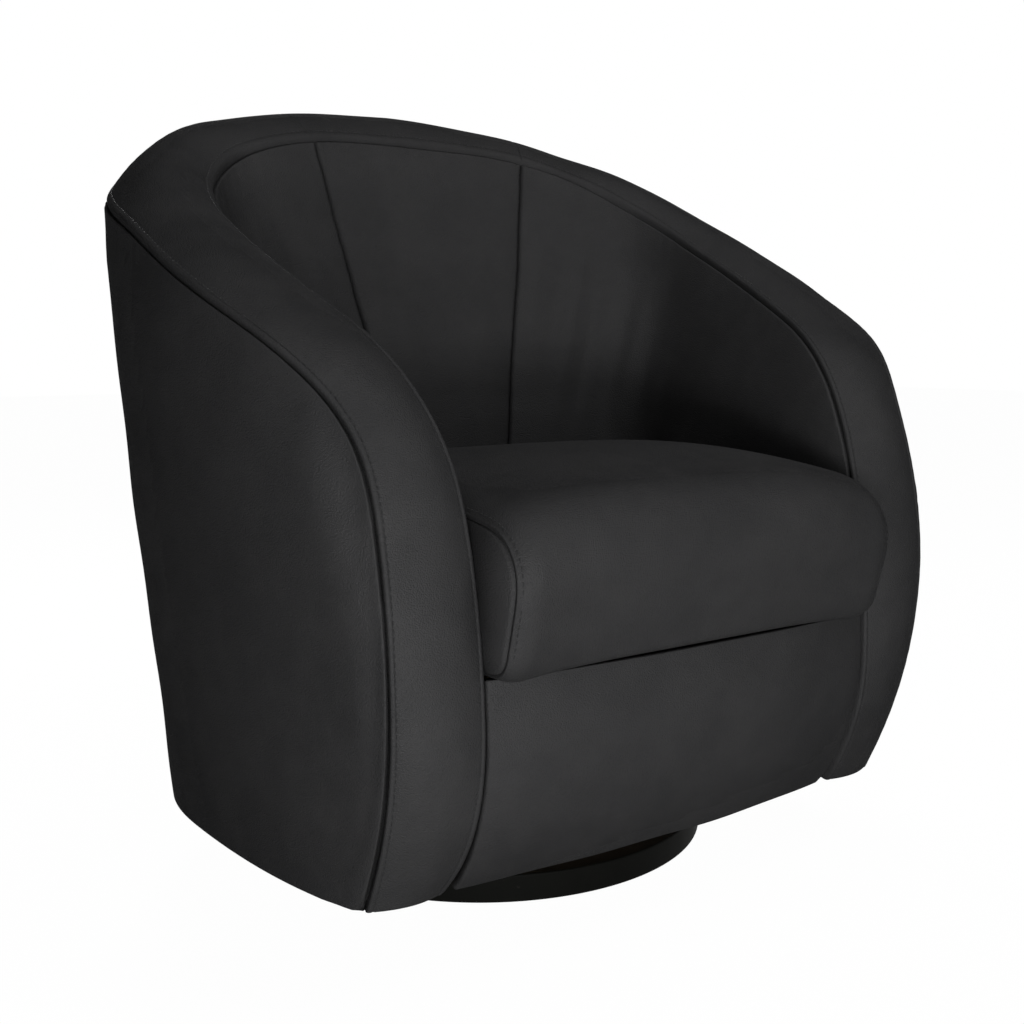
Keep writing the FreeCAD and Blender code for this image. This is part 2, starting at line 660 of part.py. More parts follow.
def rim_pair(along):
    """Inner and outer seam point of the right half, and the crown between them.

    The whole part of along names the stretch: low arc, front arc, knee, slope and, from 4 to 5,
    the bend that ends at the middle of the back.
    """
    stretch = min(int(along), 4)
    part = along - stretch
    if stretch < 4:
        inner_y, inner_z = inner_profile.at(stretch, part)
        outer_y, outer_z = outer_profile.at(stretch, part)
        spare = size("inner_half_width") - size("inner_front_half")
        spare -= size("inner_taper") * (inner_y - size("arm_end")) ** 2
        inner_x = size("inner_front_half") + soft_ramp(spare, size("inner_ease"))
        widen = ease((outer_z - size("hem_height")) / size("outer_widen_rise"))
        front_x = size("outer_hem_half") + widen * (size("outer_front_half") - size("outer_hem_half"))
        above = outer_z - size("outer_flare_start")
        front_x += size("outer_flare") * soft_ramp(above, size("outer_flare_ease"))
        wall_x = wall_side(outer_y, outer_z)
        outer_x = front_x - soft_ramp(front_x - wall_x, size("outer_wall_ease"))
        crowns = [size("crown_hem"), size("crown_front"), size("crown_front"),
                  size("crown_knee"), size("crown_arm")]
        crown = crowns[stretch] + (crowns[stretch + 1] - crowns[stretch]) * part
        return Vec(inner_x, inner_y, inner_z), Vec(outer_x, outer_y, outer_z), crown
    turn = rim_oval.turn_at(part * rim_oval.length)
    inner_x, inner_y = rim_oval.point(turn)
    level = rim_level(part)
    outer_level = level - size("outer_drop") * ease(part / size("outer_drop_part"))
    oval = wall_oval(outer_level)
    outer_x, outer_y = oval.point(turn)
    catch = ease(part / size("outer_catch_part"))
    outer_y += (size("arm_end") - size("wall_centre")) * (1 - catch)
    shoulder = size("crown_shoulder")
    start = size("crown_arm") if part < 0.5 else size("crown_back")
    crown = start + (shoulder - start) * ease(2 * min(part, 1 - part))
    return Vec(inner_x, inner_y, level), Vec(outer_x, outer_y, outer_level), crown


def rim_level(part):
    """Height of the inner seam round the bend: a straight rise that eases into level."""
    rise = size("rim_height") - inner_profile.slope_point(1.0)[1]
    level_part = size("rim_level_part")
    left = 1 - part
    full = level_part / 3 + (1 - level_part)
    if left < level_part:
        drop = left ** 3 / (3 * level_part ** 2)
    else:
        drop = level_part / 3 + (left - level_part)
    return size("rim_height") - rise * drop / full


def mirrored(point):
    return Vec(-point.x, point.y, point.z)


def arc(start, middle, end):
    return Part.Arc(start, middle, end).toShape()


def line(start, end):
    return Part.LineSegment(start, end).toShape()


def wall_ring(level, outside, inside):
    """Closed U-shaped plan of the outer wall between two insets, as lines and arcs."""
    oval = wall_oval(level)
    radius = size("wall_side_radius")
    corner = size("wall_corner_radius")
    grown = ease((level - size("hem_height")) / size("corner_proud_rise"))
    proud = size("corner_proud_low") + grown * (size("corner_proud_high") - size("corner_proud_low"))
    front = inner_profile.front_at(level) - proud
    lean = math.asin((oval.centre - front - corner) / (radius - corner))
    centre = Vec(oval.half - radius + (radius - corner) * math.cos(lean), front + corner, level)

    def path(inset):
        """Right half from the arm front to the meeting of the corner and back arcs."""
        reach = corner - inset
        turns = (math.pi / 2, (math.pi / 2 + lean) / 2, lean)
        bend = [oval.point(turn, -inset) for turn in (0.0, oval.meet / 2, oval.meet)]
        side = radius - inset
        half_lean = Vec(oval.half - radius + side * math.cos(lean / 2),
                        oval.centre - side * math.sin(lean / 2), level)
        points = [Vec(centre.x + reach * math.cos(turn), centre.y - reach * math.sin(turn), level)
                  for turn in turns]
        points.append(half_lean)
        points.extend(Vec(x, y, level) for x, y in bend)
        return points, Vec(0, oval.centre + oval.depth - inset, level)

    return u_ring(path(outside), path(inside))


def u_ring(outer, inner):
    """Closed wire round a U-shaped wall, from its right half's arc points on each face."""
    edges = []
    for points, middle in (outer, inner):
        left = [mirrored(point) for point in points]
        arcs = [arc(*points[start:start + 3]) for start in (0, 2, 4)]
        arcs.append(arc(points[-1], middle, left[-1]))
        arcs.extend(arc(left[end], left[end - 1], left[end - 2]) for end in (6, 4, 2))
        edges.append((arcs, points[0], left[0]))
    (outer_arcs, outer_start, outer_end), (inner_arcs, inner_start, inner_end) = edges
    closing = [line(outer_end, inner_end)]
    return Part.Wire(outer_arcs + closing + inner_arcs[::-1] + [line(inner_start, outer_start)])


def tub_sizes(level):
    """Half width and rear of the inner padding at a level."""
    levels = [size("tub_foot"), size("tub_seat_level"), size("tub_rim_level"), size("rim_height")]
    halves = [size("tub_foot_half"), size("tub_seat_half"), size("tub_rim_half"), size("tub_top_half")]
    backs = [size("tub_foot_back"), size("tub_seat_back"), None, size("tub_top_back")]
    seat_level, top_level = levels[1], levels[3]
    backs[2] = backs[1] + (backs[3] - backs[1]) * (levels[2] - seat_level) / (top_level - seat_level)
    for step in range(3):
        if level <= levels[step + 1] or step == 2:
            part = (level - levels[step]) / (levels[step + 1] - levels[step])
            return (halves[step] + part * (halves[step + 1] - halves[step]),
                    backs[step] + part * (backs[step + 1] - backs[step]))


def tub_oval(level):
    half, back = tub_sizes(level)
    seat_centre = size("wall_centre")
    part = (level - size("tub_foot")) / (size("rim_height") - size("tub_foot"))
    centre = seat_centre + (size("arm_end") - seat_centre) * part
    depth = back - centre
    return Oval(half, depth, depth * size("inner_bend_radius") / size("inner_back_depth"), centre)


LEAST_BEND = 0.05


def tub_ring(level, near, far):
    """Closed U-shaped plan of the inner padding between two offsets outwards."""
    oval = tub_oval(level)
    rise = (level - size("tub_foot")) / (size("tub_seat_level") - size("tub_foot"))
    radius = size("tub_side_radius") / min(max(rise, LEAST_BEND), 1.0)

    def path(grow):
        side = radius + grow
        lean = math.asin((oval.centre - size("tub_front")) / side)
        turns = (lean, lean * 3 / 4, lean / 2, lean / 4)
        points = [Vec(oval.half - radius + side * math.cos(turn),
                      oval.centre - side * math.sin(turn), level) for turn in turns]
        bend = [oval.point(turn, grow) for turn in (0.0, oval.meet / 2, oval.meet)]
        points.extend(Vec(x, y, level) for x, y in bend)
        return points, Vec(0, oval.centre + oval.depth + grow, level)

    return u_ring(path(far), path(near))


# Levels of the sections that the outer wall and the inner padding are lofted through
WALL_LEVELS = (size("hem_height"), 105, 150, 210, 290, 370, 445, 560, 680, 780)
TUB_LEVELS = (size("tub_foot"), 340, size("tub_seat_level"), 500, size("tub_rim_level"), 680, 770)

# Cutting shapes reach past the chair on every side
SPREAD = 470.0
TALL = 900.0
REAR_SPARE = 60.0
FOOT_SPARE = 30.0
BEND_STEPS = 6


def side_prism(profile, seam, inset, depth):
    """Solid under a seam's side view, set in by the inset, as wide as the chair.

    Round the bend the side view moves back with the cover's depth behind the seam, so that the
    cover's far face stays under the band too.
    """
    low = size("hem_height")
    turns = [profile.low_turn, profile.low_turn / 2, 0.0]
    low_arc = [profile.turned(profile.low_radius, turn, inset) for turn in turns]
    turns = [0.0, profile.knee_turn / 2, profile.knee_turn]
    front_arc = [profile.turned(profile.front_radius, turn, inset) for turn in turns]
    middle = (profile.knee_turn + profile.slope_turn) / 2
    knee = [profile.knee_point(turn, inset) for turn in (profile.knee_turn, middle, profile.slope_turn)]
    slope_end = profile.slope_point(1.0, inset)
    behind = [slope_end]
    for step in range(1, BEND_STEPS + 1):
        point = rim_pair(4 + step / BEND_STEPS)[seam]
        turn = rim_oval.turn_at(rim_oval.length * step / BEND_STEPS)
        behind.append((point.y + depth * math.sin(turn), point.z - inset))

    def side(point):
        return Vec(-SPREAD, point[0], point[1])

    curve = Part.BSplineCurve()
    curve.interpolate([side(point) for point in behind])
    top = behind[-1]
    rear, foot = size("top_back") + REAR_SPARE, low - FOOT_SPARE
    corners = [top, (rear, top[1]), (rear, foot), (low_arc[0][0], foot), low_arc[0]]
    edges = [arc(*map(side, low_arc)), arc(*map(side, front_arc)), arc(*map(side, knee))]
    edges.append(line(side(knee[-1]), side(slope_end)))
    edges.append(curve.toShape())
    edges.extend(line(side(start), side(end)) for start, end in zip(corners, corners[1:]))
    return Part.Face(Part.Wire(edges)).extrude(Vec(2 * SPREAD, 0, 0))


def block(low, high):
    """Box between two corners, used to divide a cover at its seams."""
    return Part.makeBox(high[0] - low[0], high[1] - low[1], high[2] - low[2], Vec(*low))


def make_outer_covers():
    """Padded outer cover, divided at the two seams on the back."""
    thick = size("cover_thick")
    ring = Part.makeLoft([wall_ring(level, 0.0, thick) for level in WALL_LEVELS], True)
    cover = ring.common(side_prism(outer_profile, 1, size("band_clear") + 1, 0.0))
    seam = size("back_seam_half")
    gap = size("slip") / 2
    middle = cover.common(block((-seam + gap, 0, 0), (seam - gap, SPREAD, TALL)))
    left = cover.common(block((-SPREAD, -SPREAD, 0), (-seam - gap, SPREAD, TALL)))
    right = cover.common(block((seam + gap, -SPREAD, 0), (SPREAD, SPREAD, TALL)))
    return [solid_feature("outer_cover_left", left),
            solid_feature("outer_cover_back", middle),
            solid_feature("outer_cover_right", right)]


def back_panel_wedge(gap):
    """Wedge between the two slanting seams of the inner back."""
    rise = size("rim_height") - size("tub_seat_level")
    lean = (size("back_panel_top") - size("back_panel_seat")) / rise
    levels = (size("tub_foot") - FOOT_SPARE, size("rim_height") + FOOT_SPARE)
    halves = [size("back_panel_seat") + lean * (level - size("tub_seat_level")) + gap
              for level in levels]
    corners = [Vec(-halves[0], 0, levels[0]), Vec(halves[0], 0, levels[0]),
               Vec(halves[1], 0, levels[1]), Vec(-halves[1], 0, levels[1])]
    return Part.Face(Part.makePolygon(corners + corners[:1])).extrude(Vec(0, SPREAD, 0))


def make_inner_panels():
    """Padded inner panels and the liner behind them."""
    thick = size("tub_pad_thick")
    prism = side_prism(inner_profile, 0, size("band_clear") + 1, thick)
    ring = Part.makeLoft([tub_ring(level, 0.0, thick) for level in TUB_LEVELS], True)
    padding = ring.common(prism)
    gap = size("slip") / 2
    sides = padding.cut(back_panel_wedge(gap))
    middle = padding.common(back_panel_wedge(-gap))
    left = sides.common(block((-SPREAD, -SPREAD, 0), (0, SPREAD, TALL)))
    right = sides.common(block((0, -SPREAD, 0), (SPREAD, SPREAD, TALL)))
    near = thick + size("slip")
    shell = Part.makeLoft([tub_ring(level, near, near + size("liner_thick")) for level in TUB_LEVELS], True)
    low_prism = side_prism(inner_profile, 0, 2 * size("band_clear"), thick + size("liner_thick"))
    return [solid_feature("inner_panel_left", left),
            solid_feature("inner_panel_back", middle),
            solid_feature("inner_panel_right", right),
            solid_feature("tub_liner", shell.common(low_prism))]


# Places along the rim of the sections that the band is lofted through
ARM_STATIONS = (0.0, 0.33, 0.67, 1.0, 1.5, 2.0, 2.33, 2.67, 3.0, 3.33, 3.67, 4.0, 4.15, 4.3, 4.45)
BACK_STATIONS = (4.7, 4.8, 4.9)
CROSS_GAP = 0.002
COURSE_STEP = 0.01


def band_section(along):
    """Section of the rim band: a crowned arc over a flat underside."""
    inner, outer, crown = rim_pair(along)
    before = rim_pair(max(along - COURSE_STEP, 0.0))
    after = rim_pair(min(along + COURSE_STEP, 5.0))
    course = (after[0] + after[1]) - (before[0] + before[1])
    across = outer - inner
    rise = across.cross(course).normalize()
    top = (inner + outer) * 0.5 + rise * crown
    depth = rise * size("band_edge")
    return inner, top, outer, outer - depth, inner - depth


def band_wire(points):
    inner, top, outer, outer_foot, inner_foot = points
    return Part.Wire([arc(inner, top, outer), line(outer, outer_foot),
                      line(outer_foot, inner_foot), line(inner_foot, inner)])


def make_rim_band():
    """Left, back and right lengths of the domed rim band."""
    cross = 4 + size("cross_seam")
    stations = ARM_STATIONS + (cross,)
    right = Part.makeLoft([band_wire(band_section(along)) for along in stations], True)
    left = right.mirror(Vec(0, 0, 0), Vec(1, 0, 0))
    sections = [band_section(along) for along in (cross + CROSS_GAP,) + BACK_STATIONS]
    middle = band_section(5.0)
    wires = [band_wire(points) for points in sections] + [band_wire(middle)]
    wires += [band_wire([mirrored(point) for point in points]) for points in sections[::-1]]
    return [solid_feature("rim_band_left", left),
            solid_feature("rim_band_back", Part.makeLoft(wires, True)),
            solid_feature("rim_band_right", right)]


def make_apron():
    """Front panel under the cushion, curved in its height and bowed in its width."""
    hem, top = size("hem_height") + size("apron_lift"), size("apron_top")
    levels = (hem, (hem + top) / 2, top)

    def section(across):
        part = across / size("apron_half")
        bow = size("apron_bow") * (1 - part * part)
        face = [Vec(across, inner_profile.front_at(level) - bow, level) for level in levels]
        rear = [point + Vec(0, size("apron_thick"), 0) for point in face]
        return Part.Wire([arc(*face), line(face[2], rear[2]), arc(*rear[::-1]), line(rear[0], face[0])])

    half = size("apron_half")
    wires = [section(across) for across in (-half, -half / 2, 0.0, half / 2, half)]
    return solid_feature("apron_panel", Part.makeLoft(wires, True))


# Shares of the half width at which the cushion's sections stand
CUSHION_STATIONS = (0.0, 0.4, 0.68, 0.86, 0.96, 1.0)


def make_cushion():
    """Crowned seat cushion over its foam block, and the cloth that closes it underneath."""
    foot = size("cushion_foot")
    half = size("cushion_half")

    def section(across):
        """Side view at a place across: a superellipse of power 4 from seam to seam swells it."""
        part = abs(across) / half
        swell = math.sqrt(1 - part ** 4)
        top = size("cushion_side_top") + swell * (size("cushion_crown") - size("cushion_side_top"))
        front = size("cushion_side_front") + swell * (size("cushion_front") - size("cushion_side_front"))
        rear = size("cushion_rear") - size("cushion_rear_corner") * part ** 6
        low = Vec(across, size("cushion_foot_front"), foot)
        nose = Vec(across, front, foot + size("cushion_nose_part") * (top - foot))
        shoulder = Vec(across, front + size("cushion_shoulder_back"), top - size("cushion_shoulder_drop"))
        crest = Vec(across, front + size("cushion_crest_back"), top)
        heel = Vec(across, rear + size("cushion_rear_lean"), top - size("cushion_heel_drop"))
        heel_foot = Vec(across, rear, foot)
        return Part.Wire([arc(low, nose, shoulder), arc(shoulder, crest, heel),
                          line(heel, heel_foot), line(heel_foot, low)])

    places = [-half * part for part in CUSHION_STATIONS[::-1]]
    places += [half * part for part in CUSHION_STATIONS[1:]]
    crowned = Part.makeLoft([section(across) for across in places], True)
    slack = size("foam_slack")
    wide, deep = size("foam_half"), size("foam_rear") - size("foam_front")
    foam_foot = foot + slack
    pocket = block((-wide - slack, size("foam_front") - slack, foot - FOOT_SPARE),
                   (wide + slack, size("foam_rear") + slack, foam_foot + size("foam_height") + slack))
    foam = Part.makeBox(2 * wide, deep, size("foam_height"), Vec(-wide, size("foam_front"), foam_foot))
    cloth_foot = foot - size("slip") - size("dust_thick")
    cloth = Part.makeBox(2 * wide, deep, size("dust_thick"), Vec(-wide, size("foam_front"), cloth_foot))
    return [solid_feature("seat_cushion", crowned.cut(pocket)),
            solid_feature("seat_foam", foam),
            solid_feature("cushion_underside", cloth)]


# Wooden frame

def board_face(inset, level):
    """Plan of a board that fills the tub's outline, set in from the cover's face."""
    hem = size("hem_height")
    oval = wall_oval(hem)
    corner = size("wall_corner_radius") - inset
    front = inner_profile.front_at(hem) - size("corner_proud_low") + inset
    half = wall_side(front + corner, hem) - inset - size("board_side_gap")
    points = [oval.point(turn, -inset) for turn in (0.0, oval.meet / 2, oval.meet)]
    bend = [Vec(x, y, level) for x, y in points]
    back = Vec(0, oval.centre + oval.depth - inset, level)
    shoulder = Vec(half, front + corner, level)
    nose = Vec(half - corner, front, level)
    turn = math.sqrt(0.5)
    elbow = Vec(half - corner + corner * turn, front + corner - corner * turn, level)
    right = [arc(nose, elbow, shoulder), line(shoulder, bend[0]), arc(*bend)]
    left = [arc(mirrored(bend[2]), mirrored(bend[1]), mirrored(bend[0])),
            line(mirrored(bend[0]), mirrored(shoulder)),
            arc(mirrored(shoulder), mirrored(elbow), mirrored(nose))]
    middle = [arc(bend[2], back, mirrored(bend[2]))]
    return Part.Face(Part.Wire(right + middle + left + [line(mirrored(nose), nose)]))


def make_boards():
    """Base board and dust cover, both with a hole for the lock nut."""
    board = board_face(size("board_inset"), board_foot).extrude(UP * size("board_thick"))
    nut_hole = Part.makeCylinder(size("mount_bore"), TALL)
    cloth_face = board_face(size("board_inset") - size("dust_spread"), dust_foot)
    cloth = cloth_face.extrude(UP * size("dust_thick"))
    return [solid_feature("base_board", board.cut(nut_hole)),
            solid_feature("dust_cover", cloth.cut(nut_hole))]


def make_rails():
    """Seat rails, front board and posts as boxes bound to the sheet."""
    foot = str(rail_foot)
    top = "Sizes.rail_top"
    span = "Sizes.rail_half_span"
    front_inner = "Sizes.rail_front + Sizes.rail_thick"
    rear_inner = "Sizes.rail_rear - Sizes.rail_thick"
    side_inner = span + " - Sizes.rail_thick"
    slip = "Sizes.slip"
    made = [
        box_feature("seat_front_rail", ("-" + span, "Sizes.rail_front", foot), (span, front_inner, top)),
        box_feature("seat_rear_rail", ("-" + span, rear_inner, foot), (span, "Sizes.rail_rear", top)),
        box_feature("front_board", (f"-({side_inner})", "Sizes.rail_front", str(frame_foot)),
                    (side_inner, "Sizes.rail_front + Sizes.frame_inset", f"{foot} - {slip}")),
    ]
    post = "Sizes.rear_post_reach"
    post_far = post + " + Sizes.rear_post_wide"
    post_rear = "Sizes.rear_post_front + Sizes.rear_post_deep"
    stile = "Sizes.back_post_reach"
    stile_far = stile + " + Sizes.back_post_side"
    stile_rear = "Sizes.back_post_front + Sizes.back_post_side"
    stile_top = f"Sizes.back_rail_height - {slip}"
    for hand, sign in (("left", "-"), ("right", "")):
        def across(near, far):
            return (f"-({far})", f"-({near})") if sign else (near, far)

        low, high = across(side_inner, span)
        made.append(box_feature("seat_side_rail_" + hand, (low, front_inner + " + " + slip, foot),
                                (high, rear_inner + " - " + slip, top)))
        low, high = across(post, post_far)
        made.append(box_feature("rear_post_" + hand, (low, "Sizes.rear_post_front", str(frame_foot)),
                                (high, post_rear, "Sizes.rear_post_top")))
        low, high = across(stile, stile_far)
        made.append(box_feature("back_post_" + hand, (low, "Sizes.back_post_front", str(frame_foot)),
                                (high, stile_rear, stile_top)))
    return made


def curved_rail(label, reach, level, half):
    """Plywood rail bent in plan, its rear face at the reach on the middle line."""
    outside = size("back_rail_radius")
    inside = outside - size("back_rail_wide")
    centre = reach - outside

    def on(radius, across):
        return Vec(across, centre + math.sqrt(radius ** 2 - across ** 2), level)

    edges = [arc(on(outside, half), on(outside, 0), on(outside, -half)),
             line(on(outside, -half), on(inside, -half)),
             arc(on(inside, -half), on(inside, 0), on(inside, half)),
             line(on(inside, half), on(outside, half))]
    return solid_feature(label, Part.Face(Part.Wire(edges)).extrude(UP * size("board_thick")))


def make_arm_panels():
    """Plywood panels that follow the arm's side view and lean out with the wall."""
    drop = size("arm_panel_drop")
    foot, rear = frame_foot, size("arm_panel_rear")
    start = inner_profile.turned(inner_profile.front_radius, 0.0, drop + size("arm_panel_nose"))
    knee = [inner_profile.knee_point(turn, drop) for turn in
            (inner_profile.knee_turn, (inner_profile.knee_turn + inner_profile.slope_turn) / 2,
             inner_profile.slope_turn)]
    top = knee[2][1] + (rear - knee[2][0]) * inner_profile.slope
    outline = [Vec(0, y, z - foot) for y, z in
               [(rear, top), (rear, foot), (start[0], foot), start, knee[0]]]
    knee_points = [Vec(0, y, z - foot) for y, z in knee]
    edges = [line(a, b) for a, b in zip(outline, outline[1:])]
    edges += [arc(*knee_points), line(knee_points[2], outline[0])]
    plate = Part.Face(Part.Wire(edges)).extrude(Vec(size("arm_panel_thick"), 0, 0))
    lean = FreeCAD.Rotation(Vec(0, 1, 0), size("arm_panel_lean"))
    plate.Placement = FreeCAD.Placement(Vec(size("arm_panel_foot"), 0, foot), lean)
    lowest = plate.BoundBox.ZMin
    plate.translate(Vec(0, 0, foot - lowest))
    return [solid_feature("arm_panel_left", plate.mirror(Vec(0, 0, 0), Vec(1, 0, 0))),
            solid_feature("arm_panel_right", plate.copy())]


def make_glue_blocks():
    """Triangular blocks in the four corners of the seat rails."""
    leg, inset, slip = size("block_leg"), size("block_inset"), size("slip")
    side = size("rail_half_span") - size("rail_thick") - slip
    front = size("rail_front") + size("rail_thick") + slip
    rear = size("rail_rear") - size("rail_thick") - slip
    blocks = []
    for sign in (-1, 1):
        for place, inward in ((front, 1), (rear, -1)):
            corner = Vec(sign * side, place, rail_foot + inset)
            points = [corner, corner + Vec(-sign * leg, 0, 0), corner + Vec(0, inward * leg, 0), corner]
            prism = Part.Face(Part.makePolygon(points)).extrude(UP * (size("rail_height") - 2 * inset))
            blocks.append(prism)
    return solid_feature("glue_blocks", Part.makeCompound(blocks))


def spring_path(across, level):
    """Sinuous line from the front rail to the rear rail: half circles joined by straight runs."""
    ends = (size("rail_front") + size("spring_end"), size("rail_rear") - size("spring_end"))
    lead = size("clip_long") + size("spring_lead")
    loops = int(size("spring_loops"))
    pitch = (ends[1] - ends[0] - 2 * lead) / loops
    bend = pitch / 2
    swing = size("spring_swing") - bend
    edges = []
    here = Vec(across, ends[0], level)
    ahead = Vec(across, ends[0] + lead - bend, level)
    edges.append(line(here, ahead))
    sign = 1
    turn = math.sqrt(0.5)
    elbow = ahead + Vec(sign * bend * (1 - turn), bend * turn, 0)
    here = ahead + Vec(sign * bend, bend, 0)
    edges.append(arc(ahead, elbow, here))
    for loop in range(loops):
        end = Vec(across + sign * swing, here.y, level)
        edges.append(line(here, end))
        far = end + Vec(0, pitch, 0)
        edges.append(arc(end, end + Vec(sign * bend, bend, 0), far))
        here = far
        sign = -sign
    last = Vec(across - sign * bend, here.y, level)
    edges.append(line(here, last))
    out = Vec(across, here.y + bend, level)
    elbow = Vec(across - sign * bend * (1 - turn), here.y + bend * (1 - turn), level)
    edges.append(arc(last, elbow, out))
    edges.append(line(out, Vec(across, ends[1], level)))
    return Part.Wire(edges)


def make_springs():
    """Sinuous springs and the clips that hold them on the rails."""
    wire, slip, end = size("spring_wire"), size("slip"), size("spring_end")
    clip, spare = size("clip_long"), size("clip_bore_spare")
    level = size("rail_top") + slip + 2 * wire
    count = int(size("spring_count"))
    springs, clips = [], []
    for number in range(count):
        across = (number - (count - 1) / 2) * size("spring_pitch")
        path = spring_path(across, level)
        start = path.Edges[0].Vertexes[0].Point
        profile = Part.Wire(Part.Circle(start, Vec(0, 1, 0), wire).toShape())
        springs.append(path.makePipeShell([profile], True, False))
        for place in (size("rail_front") + end, size("rail_rear") - end - clip):
            body = Part.makeBox(size("clip_wide"), clip, size("clip_high"),
                                Vec(across - size("clip_wide") / 2, place, size("rail_top") + slip))
            bore = Part.makeCylinder(wire + size("hole_play"), clip + 2 * spare,
                                     Vec(across, place - spare, level), Vec(0, 1, 0))
            clips.append(body.cut(bore))
    deck_foot = size("rail_top") + 2 * slip + size("clip_high")
    deck_deep = size("cushion_rear") - size("rail_front") - size("deck_gap")
    deck = Part.makeBox(2 * size("deck_half"), deck_deep, size("deck_thick"),
                        Vec(-size("deck_half"), size("rail_front"), deck_foot))
    return [solid_feature("seat_springs", Part.makeCompound(springs)),
            solid_feature("spring_clips", Part.makeCompound(clips)),
            solid_feature("seat_deck", deck)]


def build():
    """Every sub-part of the chair, in the order from the floor up."""
    made = [make_floor_pad(), make_plinth()]
    made.append(make_plate("lower_plate", PLINTH_TOP, LOWER_RACE))
    made.append(make_plate("upper_plate", UPPER_PLATE, UPPER_RACE))
    made.append(make_ball_cage())
    made.append(make_balls())
    made += make_fasteners()
    made.append(make_mount_board())
    made += make_boards()
    made += make_rails()
    made.append(curved_rail("back_top_rail", size("back_rail_reach"), size("back_rail_height"),
                            size("back_rail_half")))
    made.append(curved_rail("lumbar_rail", size("lumbar_reach"), size("lumbar_height"),
                            size("back_rail_half")))
    made += make_arm_panels()
    made.append(make_glue_blocks())
    made += make_springs()
    made += make_outer_covers()
    made += make_inner_panels()
    made += make_rim_band()
    made.append(make_apron())
    made += make_cushion()
    return made


def write(parts):
    """Check every object and write each sub-part's shape to its own file."""
    doc.recompute()
    failed = [item.Name for item in doc.Objects if "Invalid" in item.State or "Error" in item.State]
    bad = [part.Label for part in parts if part.Shape.isNull() or not part.Shape.isValid()]
    if failed or bad:
        raise RuntimeError(f"failed objects {failed}, bad shapes {bad}")
    os.makedirs("parts", exist_ok=True)
    for part in parts:
        part.Shape.exportStep(os.path.join("parts", part.Label + ".step"))
        print(part.Label, "solids", len(part.Shape.Solids), "volume", round(part.Shape.Volume))


write(build())
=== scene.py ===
"""Looks of a swivel tub chair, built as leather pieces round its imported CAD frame.

Every shape is worked out in metres in the frame's own axes: Z up, the sitter faces -Y, and the
origin is on the floor at the swivel axis.
"""
import json
import math

import bpy
import numpy as np
from bpy.props import FloatProperty, FloatVectorProperty, PointerProperty
from mathutils import Matrix, Vector


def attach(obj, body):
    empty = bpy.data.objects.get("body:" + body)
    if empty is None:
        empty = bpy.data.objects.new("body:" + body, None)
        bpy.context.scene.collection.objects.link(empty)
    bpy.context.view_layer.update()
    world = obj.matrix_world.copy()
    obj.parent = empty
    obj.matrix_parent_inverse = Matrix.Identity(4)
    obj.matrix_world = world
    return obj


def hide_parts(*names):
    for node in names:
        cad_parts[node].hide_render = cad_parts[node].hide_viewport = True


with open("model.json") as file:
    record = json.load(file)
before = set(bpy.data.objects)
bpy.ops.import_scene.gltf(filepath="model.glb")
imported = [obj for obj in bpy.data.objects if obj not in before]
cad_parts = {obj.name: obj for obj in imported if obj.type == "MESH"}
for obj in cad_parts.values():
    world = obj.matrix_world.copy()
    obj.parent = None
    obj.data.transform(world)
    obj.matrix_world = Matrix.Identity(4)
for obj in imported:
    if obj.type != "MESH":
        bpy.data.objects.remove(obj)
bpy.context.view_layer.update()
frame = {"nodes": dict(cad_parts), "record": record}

bl_info = {
    "name": "Swivel Tub Chair",
    "version": (1, 0, 0),
    "blender": (4, 5, 0),
    "location": "3D View > Sidebar > Tub Chair",
    "description": "Leather covers, rim band, seat cushion and finishes of a swivel tub chair",
    "category": "Object",
}

MM = 0.001
MIRROR = np.array([-1, 1, 1])
CHAIR = "chair"
SIDES = ("left", "back", "right")
SEEN_RAYS = ("Is Camera Ray", "Is Glossy Ray", "Is Transmission Ray")


def length(label, millimetres, about):
    """Length property whose default is written in millimetres."""
    return FloatProperty(name=label, description=about, default=millimetres * MM,
                         unit="LENGTH", precision=4)


def number(label, value, about, unit="NONE"):
    """Number property, with a unit where one fits."""
    return FloatProperty(name=label, description=about, default=value, unit=unit, precision=4)


def portion(label, value, about):
    """Number property between 0 and 1."""
    return FloatProperty(name=label, description=about, default=value, min=0.0, max=1.0,
                         subtype="FACTOR", precision=4)


def angle(label, degrees, about):
    """Angle property whose default is written in degrees."""
    return FloatProperty(name=label, description=about, default=math.radians(degrees),
                         subtype="ANGLE", precision=4)


def tint(label, value, about):
    """Linear colour property."""
    return FloatVectorProperty(name=label, description=about, default=value, size=3,
                               subtype="COLOR", min=0.0, max=1.0)


